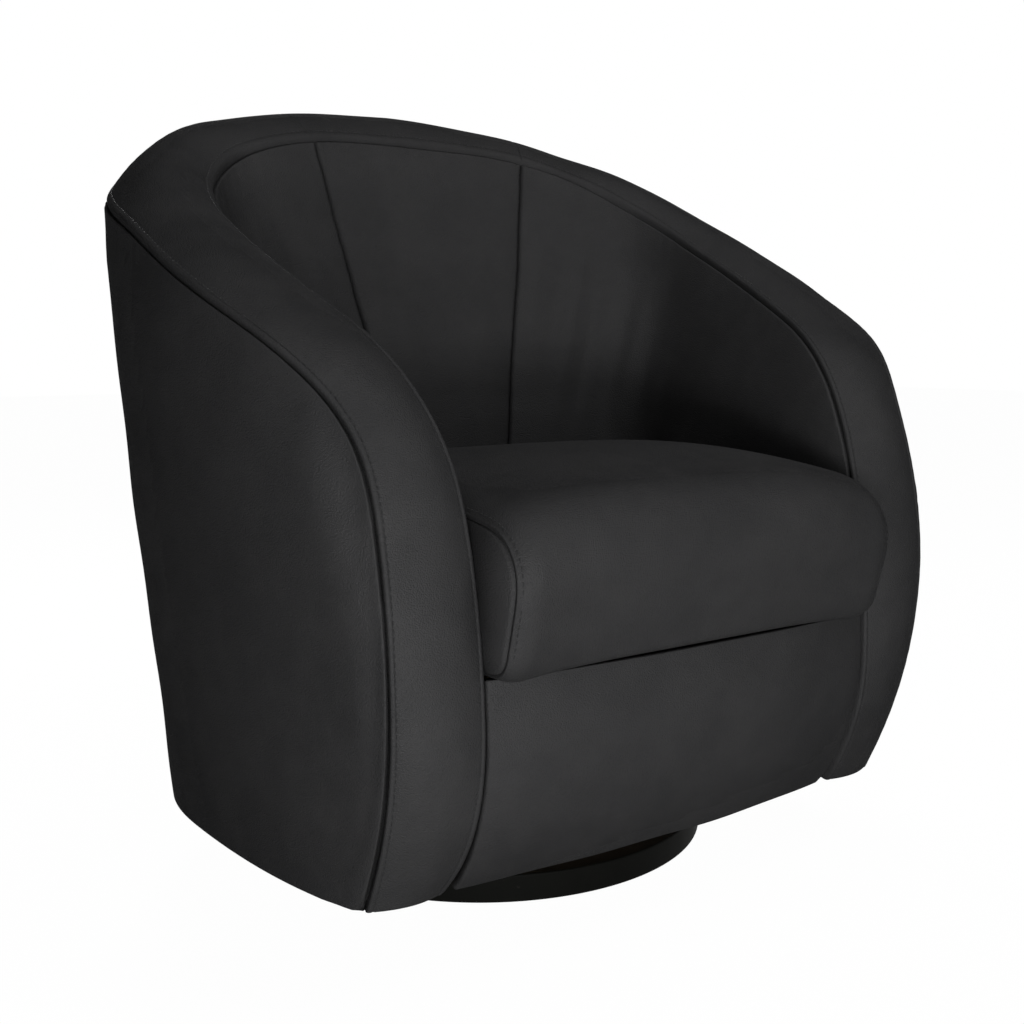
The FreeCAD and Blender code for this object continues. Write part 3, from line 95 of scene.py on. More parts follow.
class TubShape(bpy.types.PropertyGroup):
    """Driving sizes of the tub: its two rim seams, outer wall and inner padding."""

    hem: length("Hem", 71, "Lower edge of the covers above the floor")
    inner_front: length("Inner front", -339, "Front of the inner seam")
    inner_bulge: length("Inner bulge", 210, "Height of the inner seam's front point")
    inner_low: length("Inner low arc", 211, "Radius below the front point")
    inner_face: length("Inner front arc", 732, "Radius above the front point")
    inner_knee: length("Inner knee", 407, "Height where the knee begins")
    inner_turn: length("Inner knee arc", 235, "Radius of the knee")
    inner_slope: number("Inner slope", 0.491, "Rise of the arm towards the back")
    outer_front: length("Outer front", -338.5, "Front of the outer seam")
    outer_bulge: length("Outer bulge", 288, "Height of the outer seam's front point")
    outer_low: length("Outer low arc", 444, "Radius below the front point")
    outer_face: length("Outer front arc", 450, "Radius above the front point")
    outer_knee: length("Outer knee", 426, "Height where the knee begins")
    outer_turn: length("Outer knee arc", 201, "Radius of the knee")
    outer_slope: number("Outer slope", 0.46, "Rise of the arm towards the back")
    arm_end: length("Arm end", -3, "Place where the bend of the back begins")
    inner_half: length("Inner half width", 292, "Half width between the arms at the rim")
    inner_mouth: length("Inner mouth", 228, "Half width between the arm fronts")
    inner_depth: length("Bend depth", 152, "Depth of the inner seam's bend")
    inner_corner: length("Bend corner", 125, "Corner radius of that bend")
    inner_taper: number("Taper", 0.667, "Narrowing towards the arm fronts per square metre of run")
    outer_mouth: length("Outer mouth", 320.5, "Outer seam on the arm fronts")
    outer_hem: length("Outer hem", 316, "Outer seam at the hem")
    outer_flare: number("Flare", 0.732, "Outer seam's spread for its rise at the knee")
    outer_flare_start: length("Flare start", 472, "Height where that spread begins")
    rim_height: length("Rim height", 757, "Inner seam at the middle of the back")
    rim_level_part: portion("Level part", 0.72, "Part of the bend where the rim eases into level")
    outer_drop: length("Outer drop", 17, "Outer seam below the inner one round the back")
    wall_hem: length("Wall at hem", 351.7, "Half width of the outer wall at the hem")
    wall_top: length("Wall at top", 407, "Half width of the outer wall near the arm tops")
    wall_top_level: length("Wall level", 700, "Level of the upper half width")
    wall_bulge: length("Wall bulge", 2, "Convexity of the side in its height")
    wall_centre: length("Wall centre", -30, "Place of the greatest width")
    wall_back_hem: length("Back at hem", 234, "Rear of the wall at the hem")
    wall_back_top: length("Back at top", 263, "Rear of the wall at the rim")
    wall_power: number("Wall power", 2.4, "Power of the superellipse round the back")
    corner_hem: length("Corner at hem", 74, "Plan radius of the arm front corner at the hem")
    corner_top: length("Corner at top", 66, "Plan radius of that corner at the seat")
    proud_hem: length("Proud at hem", 3.4, "Arm front ahead of the inner seam at the hem")
    proud_top: length("Proud at top", 18, "Arm front ahead of the inner seam at the seat")
    outer_lag: portion("Outer lag", 0.45, "Share of the bend over which the outer seam catches up")
    tub_foot: length("Tub foot", 268, "Lower edge of the inner panels")
    back_seam_left: length("Left back seam", 128, "Left inner back seam from the middle at the rim")
    back_seam_right: length("Right back seam", 147, "Right inner back seam from the middle at the rim")
    outer_seam: length("Outer back seam", 178, "Outer back seams from the middle at the rim")


class LeatherLook(bpy.types.PropertyGroup):
    """Leather, thread and seams."""

    hide: tint("Hide", (0.019, 0.019, 0.0195), "Colour of the black leather")
    worn: tint("Worn hide", (0.028, 0.0277, 0.028), "Colour where the leather is rubbed")
    thread: tint("Thread", (0.008, 0.008, 0.0083), "Colour of the sewing thread")
    roughness: portion("Roughness", 0.52, "Roughness of the finish")
    sheen: portion("Sheen", 0.38, "Share of the surface that reflects like a dark polished finish")
    pebble: length("Pebble", 1.25, "Size of the grain's pebbles")
    seam_round: length("Seam round", 3.0, "Radius of a sewn edge")
    seam_allowance: length("Seam allowance", 8, "Distance of the topstitch from the seam")
    welt: length("Welt", 0.9, "Rise of the doubled leather beside a seam")
    stitch_pitch: length("Stitch pitch", 6.4, "Distance between stitches")
    stitch_length: length("Stitch length", 4.4, "Length of one stitch")
    stitch_width: length("Stitch width", 1.0, "Width of the thread")


class CushionShape(bpy.types.PropertyGroup):
    """Seat cushion and the apron under it."""

    half: length("Half width", 222, "Half width at the side seams")
    foot: length("Foot", 267, "Underside")
    crown: length("Crown", 430, "Top at the middle")
    brow_top: length("Brow top", 418, "Top of the front's brow at the middle")
    brow: length("Brow", 56, "Radius of that brow")
    side_crown: length("Side crown", 410, "Top at the side seams")
    side_top: length("Side top", 388, "Top of the brow at the side seams")
    side_brow: length("Side brow", 44, "Radius of that brow")
    foot_front: length("Foot front", -353, "Front of the underside")
    rear: length("Rear", 58, "Rear at the top")
    seam_bend: length("Seam bend", 34, "Radius of the corner that the gusset seam halves")
    swell: length("Swell", 24, "Most that the filling may push the leather out")
    apron_half: length("Apron half", 227, "Half width of the apron")
    apron_top: length("Apron top", 264, "Upper edge of the apron")
    apron_bow: length("Apron bow", 15, "Apron's middle ahead of its ends")


class StageLook(bpy.types.PropertyGroup):
    """Floor, lamps and camera."""

    floor: tint("Floor", (0.9, 0.9, 0.9), "Colour of the floor")
    front: number("Front", 34.0, "Power of the low wide lamp in front", "POWER")
    high: number("High", 32.0, "Power of the soft lamp high in front", "POWER")
    top: number("Top", 20.0, "Power of the soft lamp overhead", "POWER")
    rear: number("Rear", 54.0, "Power of the soft lamp behind", "POWER")
    sky: number("Sky", 0.03, "Strength of the even light from all round")
    lens: number("Lens", 44.45, "Focal length on a 36 mm sensor", "CAMERA")
    azimuth: angle("Azimuth", -35.49, "Direction of view, 0 looks along +Y")
    pitch: angle("Pitch", 7.626, "Downward tilt of the camera")


# Curves and surfaces

def ease(part):
    """Smooth step 3p^2 - 2p^3 of p held between 0 and 1."""
    part = np.clip(part, 0.0, 1.0)
    return part * part * (3 - 2 * part)


def soft_ramp(value, width):
    """Zero below, the value above, rounded over the width: w log(1 + exp(v / w))."""
    return width * np.logaddexp(0.0, value / width)


def rounded_edge(distance, radius):
    """Depth of a quarter-round edge: r - sqrt(r^2 - (r - d)^2) up to one radius from the edge."""
    inside = np.clip(radius - distance, 0.0, radius)
    return radius - np.sqrt(radius ** 2 - inside ** 2)


def travelled(points):
    """Length run along a row of points, 0 at the first."""
    steps = np.linalg.norm(np.diff(points, axis=0), axis=-1)
    return np.concatenate([[0.0], np.cumsum(steps)])


def read_along(at, run, points):
    """Points of a row read at distances along it, each coordinate straight between its neighbours."""
    return np.stack([np.interp(at, run, column) for column in points.T], axis=-1)


def smoothed(values, reach):
    """Running mean over 2 reach + 1 samples, applied twice, with the ends held."""
    kernel = np.ones(2 * reach + 1) / (2 * reach + 1)
    for _ in range(2):
        values = np.convolve(np.pad(values, reach, mode="edge"), kernel, mode="valid")
    return values


def eased_path(points, reach):
    """Half of a symmetrical path, smoothed by a running mean over 2 reach + 1 points, applied twice.

    The path goes straight on before its start and is mirrored past its end.
    """
    before = 2 * points[0] - points[2 * reach:0:-1]
    after = points[-2:-2 * reach - 2:-1] * MIRROR
    longer = np.concatenate([before, points, after])
    kernel = np.ones(2 * reach + 1) / (2 * reach + 1)
    for _ in range(2):
        longer = np.stack([np.convolve(column, kernel, mode="valid") for column in longer.T], axis=-1)
    return longer


def unit(vectors):
    """Vectors of length one."""
    return vectors / np.maximum(np.linalg.norm(vectors, axis=-1, keepdims=True), 1e-12)


def grid_normals(points):
    """Normals of a grid of points: cross product of its two directions of travel."""
    return unit(np.cross(np.gradient(points, axis=0), np.gradient(points, axis=1)))


EDGE_STEPS = np.array([0.0, 0.25, 0.8, 1.6, 2.6, 3.8, 5.2, 6.6, 7.4, 8.2, 9.6, 12.0, 16.0, 22.0]) * MM
EDGE_REACH = 22 * MM
EDGE_ROW = 12


def edge_spacing(total, step, fine_start=True, fine_end=True):
    """Distances from 0 to the total: close together near a sewn edge and a step apart elsewhere."""
    start = EDGE_STEPS if fine_start else np.array([0.0])
    end = total - EDGE_STEPS[::-1] if fine_end else np.array([total])
    middle = np.linspace(start[-1], end[0], max(int((end[0] - start[-1]) / step), 1) + 1)[1:-1]
    return np.concatenate([start, middle, end])


def waves(points, wavelength, height):
    """Gentle unevenness: product of three sines of the coordinates, out of step with each other."""
    turn = 2 * np.pi / wavelength
    x, y, z = np.moveaxis(points, -1, 0)
    return height * (np.sin(turn * (x + 0.6 * z) + 1.1) * np.sin(turn * (0.83 * y - 0.4 * x) + 0.4)
                     + 0.6 * np.sin(1.7 * turn * (z + 0.3 * y) + 2.0))


GATHER_STEP = 21 * MM
GATHER_REACH = 20 * MM
WIDE_REACH = 30 * MM


def pucker(place, distance, height, reach=GATHER_REACH):
    """Small gathers beside a seam: a sine of uneven step that dies away from the seam.

    Height = h sin(t + 1.4 sin(t / 3.3) + 0.7 sin(t / 7.7)) exp(-distance / reach), t = turns of a step.
    """
    turn = 2 * np.pi * place / GATHER_STEP
    swing = np.sin(turn + 1.4 * np.sin(turn / 3.3) + 0.7 * np.sin(turn / 7.7))
    return height * swing * np.exp(-distance / reach)


RIM_SHARES = (0.0, 0.16, 0.32, 0.42, 0.52, 0.62, 0.70, 0.78, 0.86, 0.93, 1.0)
CROWN_HEIGHTS = (8.0, 10.0, 10.0, 9.0, 18.0, 22.0, 36.0, 43.0, 42.0, 43.0, 48.0)
OUTER_TUCKS = (0.0, 0.0, 0.0, 0.0, 0.0, 4.0, 10.0, 7.0, 9.0, 5.0, 1.0)


class Rim:
    """The two seams of the rim band as curves of the distance from the middle of the back.

    A place is that distance along the band, negative on the left. Each seam is, in side view, a low
    arc, a front arc, a knee arc and a straight slope, tangent to one another. Round the back, in
    plan, the inner seam is an oval of two arcs and the outer one follows the wall's superellipse.
    """

    SAMPLES = 500
    EVEN_SAMPLES = 2400
    INNER_EASE = 24
    OUTER_EASE = 70
    SOFT_TAPER = 4 * MM
    SOFT_FLARE = 12 * MM
    SOFT_WALL = 5 * MM
    MOUTH_RISE = 0.15
    DRAWN_IN = 4 * MM
    DRAWN_LEVEL = 0.61
    DRAWN_RISE = 0.08
    SIDE_BEND = 0.883
    SIDE_BEND_GAIN = 0.146
    CORNER_RISE = 0.27
    LEVEL_PART = 0.6
    BULGE_SPAN = 1.1
    MARK_SAMPLES = 1500
    MARK_EASE = 30

    def __init__(self, shape):
        self.shape = shape
        self.arm_top = {}
        part = np.linspace(0.0, 1.0, self.SAMPLES, endpoint=False)
        inner_y, inner_z = self.side_view("inner", part)
        outer_y, outer_z = self.side_view("outer", part)
        spare = shape.inner_half - shape.inner_mouth
        spare = spare - shape.inner_taper * (inner_y - shape.arm_end) ** 2
        inner_x = shape.inner_mouth + soft_ramp(spare, self.SOFT_TAPER)
        opened = ease((outer_z - shape.hem) / self.MOUTH_RISE)
        front_x = shape.outer_hem + (shape.outer_mouth - shape.outer_hem) * opened
        flare = soft_ramp(outer_z - shape.outer_flare_start, self.SOFT_FLARE)
        front_x = front_x + shape.outer_flare * flare
        wall_x = self.wall_side(outer_y, outer_z)
        outer_x = front_x - soft_ramp(front_x - wall_x, self.SOFT_WALL)
        arm_inner = np.stack([inner_x, inner_y, inner_z], axis=-1)
        arm_outer = np.stack([outer_x, outer_y, outer_z], axis=-1)
        bend_inner, bend_outer = self.bend(np.linspace(0.0, 1.0, self.SAMPLES))
        self.inner_half = np.concatenate([arm_inner, bend_inner])
        self.outer_half = np.concatenate([arm_outer, bend_outer])
        run = travelled((self.inner_half + self.outer_half) / 2)
        even = np.linspace(0.0, run[-1], self.EVEN_SAMPLES)
        inner = read_along(even, run, self.inner_half)
        outer = read_along(even, run, self.outer_half)
        inwards = unit((inner - outer) * [1, 1, 0])
        outer = outer + inwards * self.marked(even, OUTER_TUCKS)[:, None]
        self.inner_half = eased_path(inner, self.INNER_EASE)
        self.outer_half = eased_path(outer, self.OUTER_EASE)
        run = travelled((self.inner_half + self.outer_half) / 2)
        self.reach = run[-1]
        self.distance = (run[-1] - run)[::-1]
        self.inner_half = self.inner_half[::-1]
        self.outer_half = self.outer_half[::-1]
        self.crown_half = self.marked(run, CROWN_HEIGHTS)[::-1]

    def front_at(self, level):
        """Front of the inner seam at a level, upright above the knee."""
        shape = self.shape
        rise = np.minimum(level, shape.inner_knee) - shape.inner_bulge
        radius = np.where(rise > 0, shape.inner_face, shape.inner_low)
        return shape.inner_front + radius - np.sqrt(radius ** 2 - rise ** 2)

    def side_view(self, seam, part):
        """Side view of a seam from the hem to the end of the arm, as y and z."""
        front, bulge, low, face, knee, turn, slope = (
            getattr(self.shape, f"{seam}_{name}")
            for name in ("front", "bulge", "low", "face", "knee", "turn", "slope"))
        low_turn = -math.asin((bulge - self.shape.hem) / low)
        knee_turn = math.asin((knee - bulge) / face)
        slope_turn = math.pi / 2 - math.atan(slope)
        low_angle = low_turn * (1 - part)
        face_angle = knee_turn * part
        turn_angle = knee_turn + (slope_turn - knee_turn) * part
        face_end = (front + face - face * math.cos(knee_turn), bulge + face * math.sin(knee_turn))
        centre_y = face_end[0] + turn * math.cos(knee_turn)
        centre_z = face_end[1] - turn * math.sin(knee_turn)
        start_y = centre_y - turn * math.cos(slope_turn)
        start_z = centre_z + turn * math.sin(slope_turn)
        run = (self.shape.arm_end - start_y) * part
        y = np.concatenate([front + low - low * np.cos(low_angle),
                            front + face - face * np.cos(face_angle),
                            centre_y - turn * np.cos(turn_angle), start_y + run])
        z = np.concatenate([bulge + low * np.sin(low_angle), bulge + face * np.sin(face_angle),
                            centre_z + turn * np.sin(turn_angle), start_z + slope * run])
        self.arm_top[seam] = start_z + slope * (self.shape.arm_end - start_y)
        return y, z

    def wall_half(self, level):
        """Half width of the outer wall: a lean, a slight bulge and a drawing-in under the rim."""
        shape = self.shape
        part = (level - shape.hem) / (shape.wall_top_level - shape.hem)
        lean = shape.wall_hem + (shape.wall_top - shape.wall_hem) * part
        bulge = shape.wall_bulge * np.sin(np.pi * np.clip(self.BULGE_SPAN * part, 0.0, 1.0))
        drawn = np.clip((level - self.DRAWN_LEVEL) / self.DRAWN_RISE, 0.0, 1.0)
        return lean + bulge - self.DRAWN_IN * drawn

    def side_bend(self, level):
        """Plan radius of the side, forward of the greatest width."""
        return self.SIDE_BEND + self.SIDE_BEND_GAIN * self.corner_rise(level)

    def corner_rise(self, level):
        """Share of the way from the hem to the level where the arm fronts reach their full bend."""
        return np.clip((level - self.shape.hem) / self.CORNER_RISE, 0.0, 1.0)

    def wall_side(self, place, level):
        """Half width forward of the greatest width, on the side's arc."""
        ahead = np.maximum(self.shape.wall_centre - place, 0.0)
        radius = self.side_bend(level)
        return self.wall_half(level) - radius + np.sqrt(radius ** 2 - ahead ** 2)

    def wall_round(self, turn, level):
        """Superellipse round the back: its point with the given direction of the outward normal."""
        shape = self.shape
        rise = (level - shape.hem) / (shape.rim_height - shape.hem)
        half = self.wall_half(level)
        rear = shape.wall_back_hem + (shape.wall_back_top - shape.wall_back_hem) * rise
        depth = rear - shape.wall_centre
        power = shape.wall_power / (shape.wall_power - 1)
        across, along = half * np.cos(turn), depth * np.sin(turn)
        across, along = np.maximum(across, 0.0), np.maximum(along, 0.0)
        scale = (across ** power + along ** power) ** (1 / shape.wall_power)
        x = half * across ** (power - 1) / scale
        y = depth * along ** (power - 1) / scale + shape.wall_centre
        return x, y

    def bend(self, part):
        """Both seams round the bend: oval in plan, rising straight and then easing into level."""
        shape = self.shape
        oval = shape.inner_half, shape.inner_depth, shape.inner_corner
        turn = oval_turn(part, *oval)
        inner_x, inner_y = oval_point(turn, *oval, shape.arm_end)
        left = 1 - part
        eased = shape.rim_level_part
        drop = np.where(left < eased, left ** 3 / (3 * eased ** 2), eased / 3 + left - eased)
        rise = shape.rim_height - self.arm_top["inner"]
        level = shape.rim_height - rise * drop / (eased / 3 + 1 - eased)
        step = self.arm_top["inner"] - self.arm_top["outer"]
        outer_level = level - step - (shape.outer_drop - step) * ease(part / self.LEVEL_PART)
        outer_x, outer_y = self.wall_round(turn, outer_level)
        outer_y = outer_y + (shape.arm_end - shape.wall_centre) * (1 - ease(part / shape.outer_lag))
        return (np.stack([inner_x, inner_y, level], axis=-1),
                np.stack([outer_x, outer_y, outer_level], axis=-1))

    def marked(self, run, heights):
        """Millimetres given at the rim's marks, eased between them, for distances from the hem."""
        even = np.linspace(0.0, run[-1], self.MARK_SAMPLES)
        table = np.interp(even / run[-1], RIM_SHARES, np.array(heights) * MM)
        return np.interp(run, even, smoothed(table, self.MARK_EASE))

    def at(self, place):
        """Inner seam point, outer seam point and crown at each place."""
        reach = np.abs(place)
        side = np.where(place[:, None] < 0, MIRROR, 1)
        inner, outer = (side * read_along(reach, self.distance, half)
                        for half in (self.inner_half, self.outer_half))
        return inner, outer, np.interp(reach, self.distance, self.crown_half)

    def place_of(self, test):
        """Distance from the middle of the back where a test on the inner seam first holds."""
        return float(self.distance[np.argmax(test(self.inner_half))])

    def rise(self, place):
        """Direction square to the band's run and to its chord, outwards and up."""
        step = 2 * MM
        inner, outer, _ = self.at(place)
        before, after = self.at(place - step), self.at(place + step)
        course = (after[0] + after[1]) - (before[0] + before[1])
        return unit(np.cross(course, outer - inner))


def oval_arcs(half, depth, corner):
    """Radius of the back arc of an oval, and the turn of the outward normal where its two arcs meet."""
    back = ((half - corner) ** 2 + depth ** 2 - corner ** 2) / (2 * (depth - corner))
    return back, np.pi / 2 - np.arctan2(half - corner, back - depth)


def oval_turn(part, half, depth, corner):
    """Turn of the outward normal at a part of the length round a quarter of the oval."""
    back, meet = oval_arcs(half, depth, corner)
    corner_run = corner * meet
    run = part * (corner_run + back * (np.pi / 2 - meet))
    return np.where(run < corner_run, run / corner, meet + (run - corner_run) / back)


def oval_point(turn, half, depth, corner, centre):
    """Point of an oval of a corner arc and a back arc with that direction of the outward normal."""
    back, meet = oval_arcs(half, depth, corner)
    on_corner = turn <= meet
    x = np.where(on_corner, half - corner + corner * np.cos(turn), back * np.cos(turn))
    y = np.where(on_corner, centre + corner * np.sin(turn), centre + depth - back + back * np.sin(turn))
    return x, y


def mesh_piece(name, points, faces, material, slot):
    """Object at the origin with the points and faces, turned outwards, riding the chair."""
    points = np.asarray(points, dtype=np.float64)
    triangles = np.concatenate([faces[:, [0, 1, 2]], faces[:, [0, 2, 3]]])
    a, b, c = (points[triangles[:, corner]] for corner in range(3))
    if np.einsum("ij,ij->i", a, np.cross(b, c)).sum() < 0:
        faces = faces[:, ::-1]
    mesh = bpy.data.meshes.new(name)
    mesh.vertices.add(len(points))
    mesh.vertices.foreach_set("co", points.astype(np.float32).ravel())
    mesh.loops.add(faces.size)
    mesh.loops.foreach_set("vertex_index", np.ascontiguousarray(faces, dtype=np.int32).ravel())
    mesh.polygons.add(len(faces))
    mesh.polygons.foreach_set("loop_start", np.arange(0, faces.size, 4, dtype=np.int32))
    mesh.update(calc_edges=True)
    mesh.validate()
    mesh.shade_smooth()
    mesh.materials.append(material)
    piece = bpy.data.objects.new(name, mesh)
    bpy.context.scene.collection.objects.link(piece)
    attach(piece, CHAIR)
    return piece


def grid_faces(rows, columns, start=0, wrap=False):
    """Quads of a grid of rows and columns, joined round its columns where it wraps."""
    index = start + np.arange(rows * columns).reshape(rows, columns)
    if wrap:
        index = np.concatenate([index, index[:, :1]], axis=1)
    corners = index[:-1, :-1], index[1:, :-1], index[1:, 1:], index[:-1, 1:]
    return np.stack(corners, axis=-1).reshape(-1, 4)


def slab(face, back):
    """Closed slab between two grids of the same size: both faces and the wall round their edge."""
    rows, columns = face.shape[:2]
    count = rows * columns
    index = np.arange(count).reshape(rows, columns)
    border = np.concatenate([index[0, :-1], index[:-1, -1], index[-1, :0:-1], index[:0:-1, 0]])
    after = np.roll(border, -1)
    wall = np.stack([border + count, after + count, after, border], axis=-1)
    front = grid_faces(rows, columns)[:, ::-1]
    rear = grid_faces(rows, columns, start=count)
    points = np.concatenate([face.reshape(-1, 3), back.reshape(-1, 3)])
    return points, np.concatenate([front, rear, wall])


def rod(rings):
    """Closed bar along rings of points: its skin, and each end closed by folding its ring flat."""
    rows, columns = rings.shape[:2]
    skin = grid_faces(rows, columns, wrap=True)
    half = columns // 2
    caps = []
    for start in (0, (rows - 1) * columns):
        near = start + np.arange(half)
        far = start + (columns - 1 - np.arange(half))
        cap = np.stack([near[:-1], near[1:], far[1:], far[:-1]], axis=-1)
        caps.append(cap if start == 0 else cap[:, ::-1])
    return rings.reshape(-1, 3), np.concatenate([skin] + caps)


# Materials

class Value:
    """Socket of a shader node with arithmetic: each operator adds a Math node."""

    def __init__(self, nodes, socket):
        self.nodes = nodes
        self.socket = socket

    def math(self, operation, other, swap=False):
        """Math node on this value and another, in turned order where asked."""
        pair = (other, self) if swap else (self, other)
        return self.nodes.node("ShaderNodeMath", {"operation": operation}, dict(enumerate(pair)))

    def __add__(self, other):
        return self.math("ADD", other)

    def __radd__(self, other):
        return self.math("ADD", other, True)

    def __sub__(self, other):
        return self.math("SUBTRACT", other)

    def __rsub__(self, other):
        return self.math("SUBTRACT", other, True)

    def __mul__(self, other):
        return self.math("MULTIPLY", other)

    def __rmul__(self, other):
        return self.math("MULTIPLY", other, True)


class Nodes:
    """Node tree under construction."""

    def __init__(self, tree):
        self.tree = tree

    def node(self, kind, settings=None, inputs=None, out=0):
        """Node of a kind with its settings set first, then its sockets' values or links."""
        made = self.tree.nodes.new(kind)
        for name, value in (settings or {}).items():
            if name == "stops":
                self.set_stops(made.color_ramp, value)
            else:
                setattr(made, name, value)
        for name, value in (inputs or {}).items():
            if isinstance(value, Value):
                self.tree.links.new(value.socket, made.inputs[name])
            else:
                made.inputs[name].default_value = value
        return Value(self, made.outputs[out])

    @staticmethod
    def set_stops(ramp, stops):
        """Stops of a colour ramp as pairs of place and grey."""
        while len(ramp.elements) < len(stops):
            ramp.elements.new(0.5)
        for element, (place, grey) in zip(ramp.elements, stops):
            element.position = place
            element.color = (grey, grey, grey, 1.0)

    def seen(self):
        """One for the rays of the camera, of gloss and of glass, nought for the rest."""
        return sum(self.node("ShaderNodeLightPath", out=ray) for ray in SEEN_RAYS)


class Paint(Nodes):
    """Material under construction: a Principled shader and the nodes that feed it."""

    def __init__(self, name, **constants):
        self.material = bpy.data.materials.new(name)
        self.material.use_nodes = True
        super().__init__(self.material.node_tree)
        self.shader = self.tree.nodes["Principled BSDF"]
        for socket, value in constants.items():
            self.shader.inputs[socket.replace("_", " ")].default_value = value
        self.place = self.node("ShaderNodeTexCoord", out="Object")

    def noise(self, scale, detail=3.0, roughness=0.55, stretch=None):
        """Noise from 0 to 1 over the object, stretched along its axes where asked."""
        place = self.place
        if stretch:
            place = self.node("ShaderNodeMapping", None, {"Vector": place, "Scale": stretch})
        return self.node("ShaderNodeTexNoise", None,
                         {"Vector": place, "Scale": scale, "Detail": detail, "Roughness": roughness})

    def ramp(self, factor, *stops):
        """Factor spread between the stops."""
        return self.node("ShaderNodeValToRGB", {"stops": stops}, {"Fac": factor})

    def mix(self, factor, first, second):
        """Colour between two colours."""
        def colour(value):
            return value if isinstance(value, Value) else (*value, 1.0)

        return self.node("ShaderNodeMix", {"data_type": "RGBA"},
                         {"Factor": factor, 6: colour(first), 7: colour(second)}, out=2)

    def bump(self, height, strength, distance, under=None):
        """Bumped normal from a height, over another bump where given."""
        inputs = {"Height": height, "Strength": strength, "Distance": distance}
        if under:
            inputs["Normal"] = under
        return self.node("ShaderNodeBump", None, inputs)

    def feed(self, **sockets):
        """Links into the Principled shader."""
        for name, value in sockets.items():
            self.tree.links.new(value.socket, self.shader.inputs[name.replace("_", " ")])
        return self.material


def leather_material(look):
    """Fine pebbled black leather: raised pebbles, soft creases, uneven sheen and rubbed places."""
    paint = Paint("black_leather", Metallic=look.sheen, Specular_IOR_Level=0.0,
                  Specular_Tint=(0.12, 0.12, 0.12, 1.0))
    cells = paint.node("ShaderNodeTexVoronoi", {"feature": "SMOOTH_F1"},
                       {"Vector": paint.place, "Scale": 1.0 / look.pebble, "Smoothness": 0.35,
                        "Randomness": 1.0}, out="Distance")
    fine = paint.noise(0.9 / look.pebble, detail=2.0)
    creases = paint.noise(120.0, detail=4.0, roughness=0.65)
    cloud = paint.noise(9.0, detail=3.0)
    patches = paint.noise(38.0, detail=3.0, roughness=0.6)
    pebbles = (1.0 - cells) * 0.7 + fine * 0.3
    grain = paint.bump(pebbles, strength=1.0, distance=0.7 * MM)
    folds = paint.bump(creases, strength=0.06, distance=1.6 * MM, under=grain)
    rubbed = paint.ramp(cloud * 0.6 + patches * 0.4, (0.4, 0.0), (0.68, 1.0))
    colour = paint.mix(rubbed * 0.5 + (1.0 - cells) * 0.25, look.hide, look.worn)
    dull = look.roughness + (patches - 0.5) * 0.12 + (cloud - 0.5) * 0.14 + cells * 0.1
    return paint.feed(Base_Color=colour, Roughness=dull, Normal=folds)


def thread_material(look):
    """Twisted black thread with a little sheen."""
    paint = Paint("black_thread", Specular_IOR_Level=0.08)
    twist = paint.noise(1400.0, detail=1.0)
    colour = paint.mix(twist, look.thread, tuple(1.9 * part for part in look.thread))
    bumps = paint.bump(twist, strength=0.3, distance=0.2 * MM)
    return paint.feed(Base_Color=colour, Roughness=0.5 + twist * 0.2, Normal=bumps)


def painted_wood_material():
    """Black painted plinth: brush marks, a mottled film and small worn specks."""
    paint = Paint("black_painted_plinth", Specular_IOR_Level=0.02)
    mottle = paint.noise(26.0, detail=4.0, roughness=0.6)
    brush = paint.noise(60.0, detail=3.0, roughness=0.5, stretch=(1.0, 1.0, 9.0))
    specks = paint.ramp(paint.noise(150.0, detail=2.0), (0.72, 0.0), (0.78, 1.0))
    colour = paint.mix(mottle, (0.0008, 0.0009, 0.0008), (0.0035, 0.0036, 0.003))
    colour = paint.mix(specks * 0.25, colour, (0.05, 0.047, 0.04))
    bumps = paint.bump(brush * 0.6 + mottle * 0.4, strength=0.2, distance=0.5 * MM)
    return paint.feed(Base_Color=colour, Roughness=0.42 + mottle * 0.3, Normal=bumps)


def wood_material(name, pale, dark, along, scale):
    """Raw wood: streaks drawn out along one axis, with finer fibres over them."""
    paint = Paint(name)
    stretch = [scale, scale, scale]
    stretch[along] = scale * 0.06
    streaks = paint.noise(1.0, detail=4.0, roughness=0.6, stretch=tuple(stretch))
    fibres = paint.noise(1.0, detail=2.0, roughness=0.5, stretch=tuple(9.0 * part for part in stretch))
    colour = paint.mix(paint.ramp(streaks * 0.7 + fibres * 0.3, (0.35, 0.0), (0.65, 1.0)), pale, dark)
    bumps = paint.bump(fibres, strength=0.2, distance=0.3 * MM)
    return paint.feed(Base_Color=colour, Roughness=0.62 + fibres * 0.2, Normal=bumps)


def metal_material(name, colour, roughness, brushed):
    """Bare or plated steel with fine marks and faint stains."""
    paint = Paint(name, Metallic=1.0)
    marks = paint.noise(brushed, detail=3.0)
    stain = paint.noise(22.0, detail=3.0)
    darker = tuple(0.7 * part for part in colour)
    tone = paint.mix(stain, colour, darker)
    bumps = paint.bump(marks, strength=0.08, distance=0.2 * MM)
    return paint.feed(Base_Color=tone, Roughness=roughness + marks * 0.2, Normal=bumps)


def cloth_material(name, pale, dark, scale):
    """Pressed or spun cloth: a tangle of fibres over a cloudy tone."""
    paint = Paint(name)
    fibres = paint.noise(scale, detail=3.0, roughness=0.7)
    cloud = paint.noise(scale * 0.06, detail=3.0)
    colour = paint.mix(fibres * 0.7 + cloud * 0.3, pale, dark)
    bumps = paint.bump(fibres, strength=0.4, distance=0.5 * MM)
    return paint.feed(Base_Color=colour, Roughness=0.85 + fibres * 0.1, Normal=bumps)


